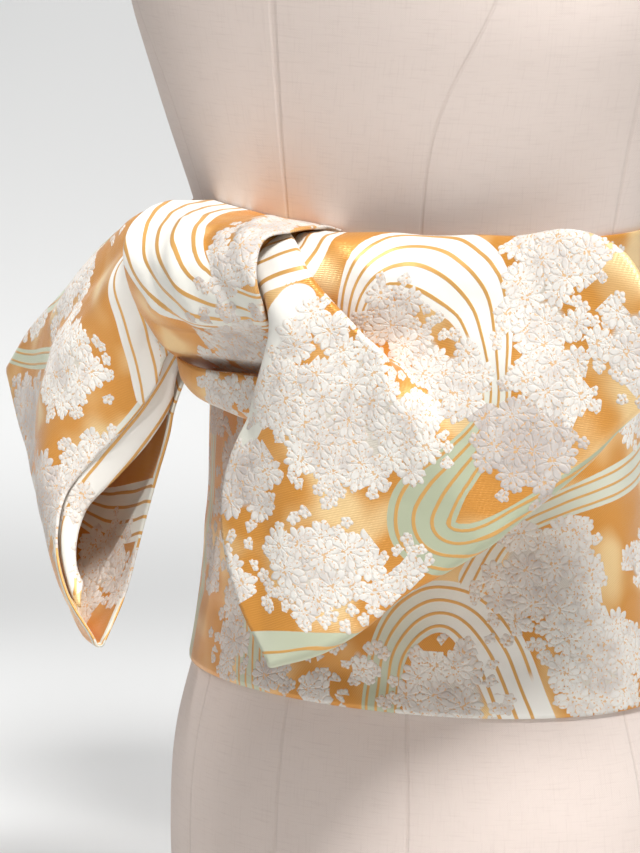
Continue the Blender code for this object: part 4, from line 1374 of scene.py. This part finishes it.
def facing_back(towards):
    """The rotation of a camera or light that looks back along a direction."""
    return towards.to_track_quat("Z", "Y").to_euler()


def camera():
    """The eye, from behind the wearer and to one side."""
    data = bpy.data.cameras.new("camera")
    data.lens = LENS_MM
    data.sensor_width = SENSOR_MM
    data.clip_end = 100.0
    towards = direction(AZIMUTH, ELEVATION)
    place = LOOKS_AT + DISTANCE * towards
    bpy.context.scene.camera = in_scene("camera", data, place, facing_back(towards))


def light(name, kind, power, place, rotation, **settings):
    """A light of a kind, with its own settings."""
    data = bpy.data.lights.new(name, kind)
    data.energy = power
    for key, value in settings.items():
        setattr(data, key, value)
    in_scene(name, data, place, rotation)


def lamp(name, azimuth, elevation, distance, size, power):
    """A round soft light that looks at the part."""
    towards = direction(azimuth, elevation)
    place = LOOKS_AT + distance * towards
    light(name, "AREA", power, place, facing_back(towards), shape="DISK", size=size)


def floor_light(name, start, end, height, power):
    """A long light behind the object, from start to end, which shines down on the floor."""
    place = direction(AZIMUTH + 180, 0) * (start + end) / 2 + Vector((0.0, 0.0, height))
    light(name, "AREA", power, place, (0.0, 0.0, math.radians(AZIMUTH)), shape="RECTANGLE",
          size=FLOOR_LIGHT_WIDTH, size_y=end - start, spread=math.radians(FLOOR_LIGHT_SPREAD))


def accent_light():
    """A narrow light from the other side, on the front of the left wing alone."""
    towards = direction(AZIMUTH - 28, 48)
    place = LEFT_WING_MIDDLE + 2.5 * towards
    light("accent_light", "SPOT", 165, place, facing_back(towards), spot_size=math.radians(5.6),
          spot_blend=1.0, shadow_soft_size=0.06)


def floor():
    """A wide pale floor."""
    work = bmesh.new()
    bmesh.ops.create_grid(work, x_segments=1, y_segments=1, size=FLOOR_HALF)
    mesh = bpy.data.meshes.new("floor")
    work.to_mesh(mesh)
    work.free()
    pale = Finish("pale_floor", Base_Color=(0.88, 0.88, 0.87, 1.0), Roughness=0.95)
    mesh.materials.append(pale.material)
    in_scene("floor", mesh)


def sky():
    """Soft light from all round."""
    world = bpy.data.worlds.new("studio")
    world.use_nodes = True
    background = world.node_tree.nodes["Background"]
    background.inputs["Color"].default_value = (0.97, 0.98, 1.0, 1.0)
    background.inputs["Strength"].default_value = 0.17
    bpy.context.scene.world = world


def studio():
    """Floor, sky and lights: the key is high above the camera and a little to its right."""
    floor()
    lamp("key_light", AZIMUTH + 14, 58, 2.8, 0.8, 92)
    lamp("fill_light", AZIMUTH + 70, 15, 3.0, 2.4, 3)
    floor_light("near_floor_light", 0.0, 0.8, 0.85, 3.0)
    floor_light("far_floor_light", 1.3, 7.2, 1.7, 26)
    accent_light()
    sky()
    bpy.context.scene.view_settings.view_transform = "Standard"


camera()
studio()
brocade_silk = brocade()
for make in (sash_wrap, sash_tie, sash_sling, bow_left, bow_left_inner, bow_right, sash_knot):
    make(brocade_silk)
dress_form()
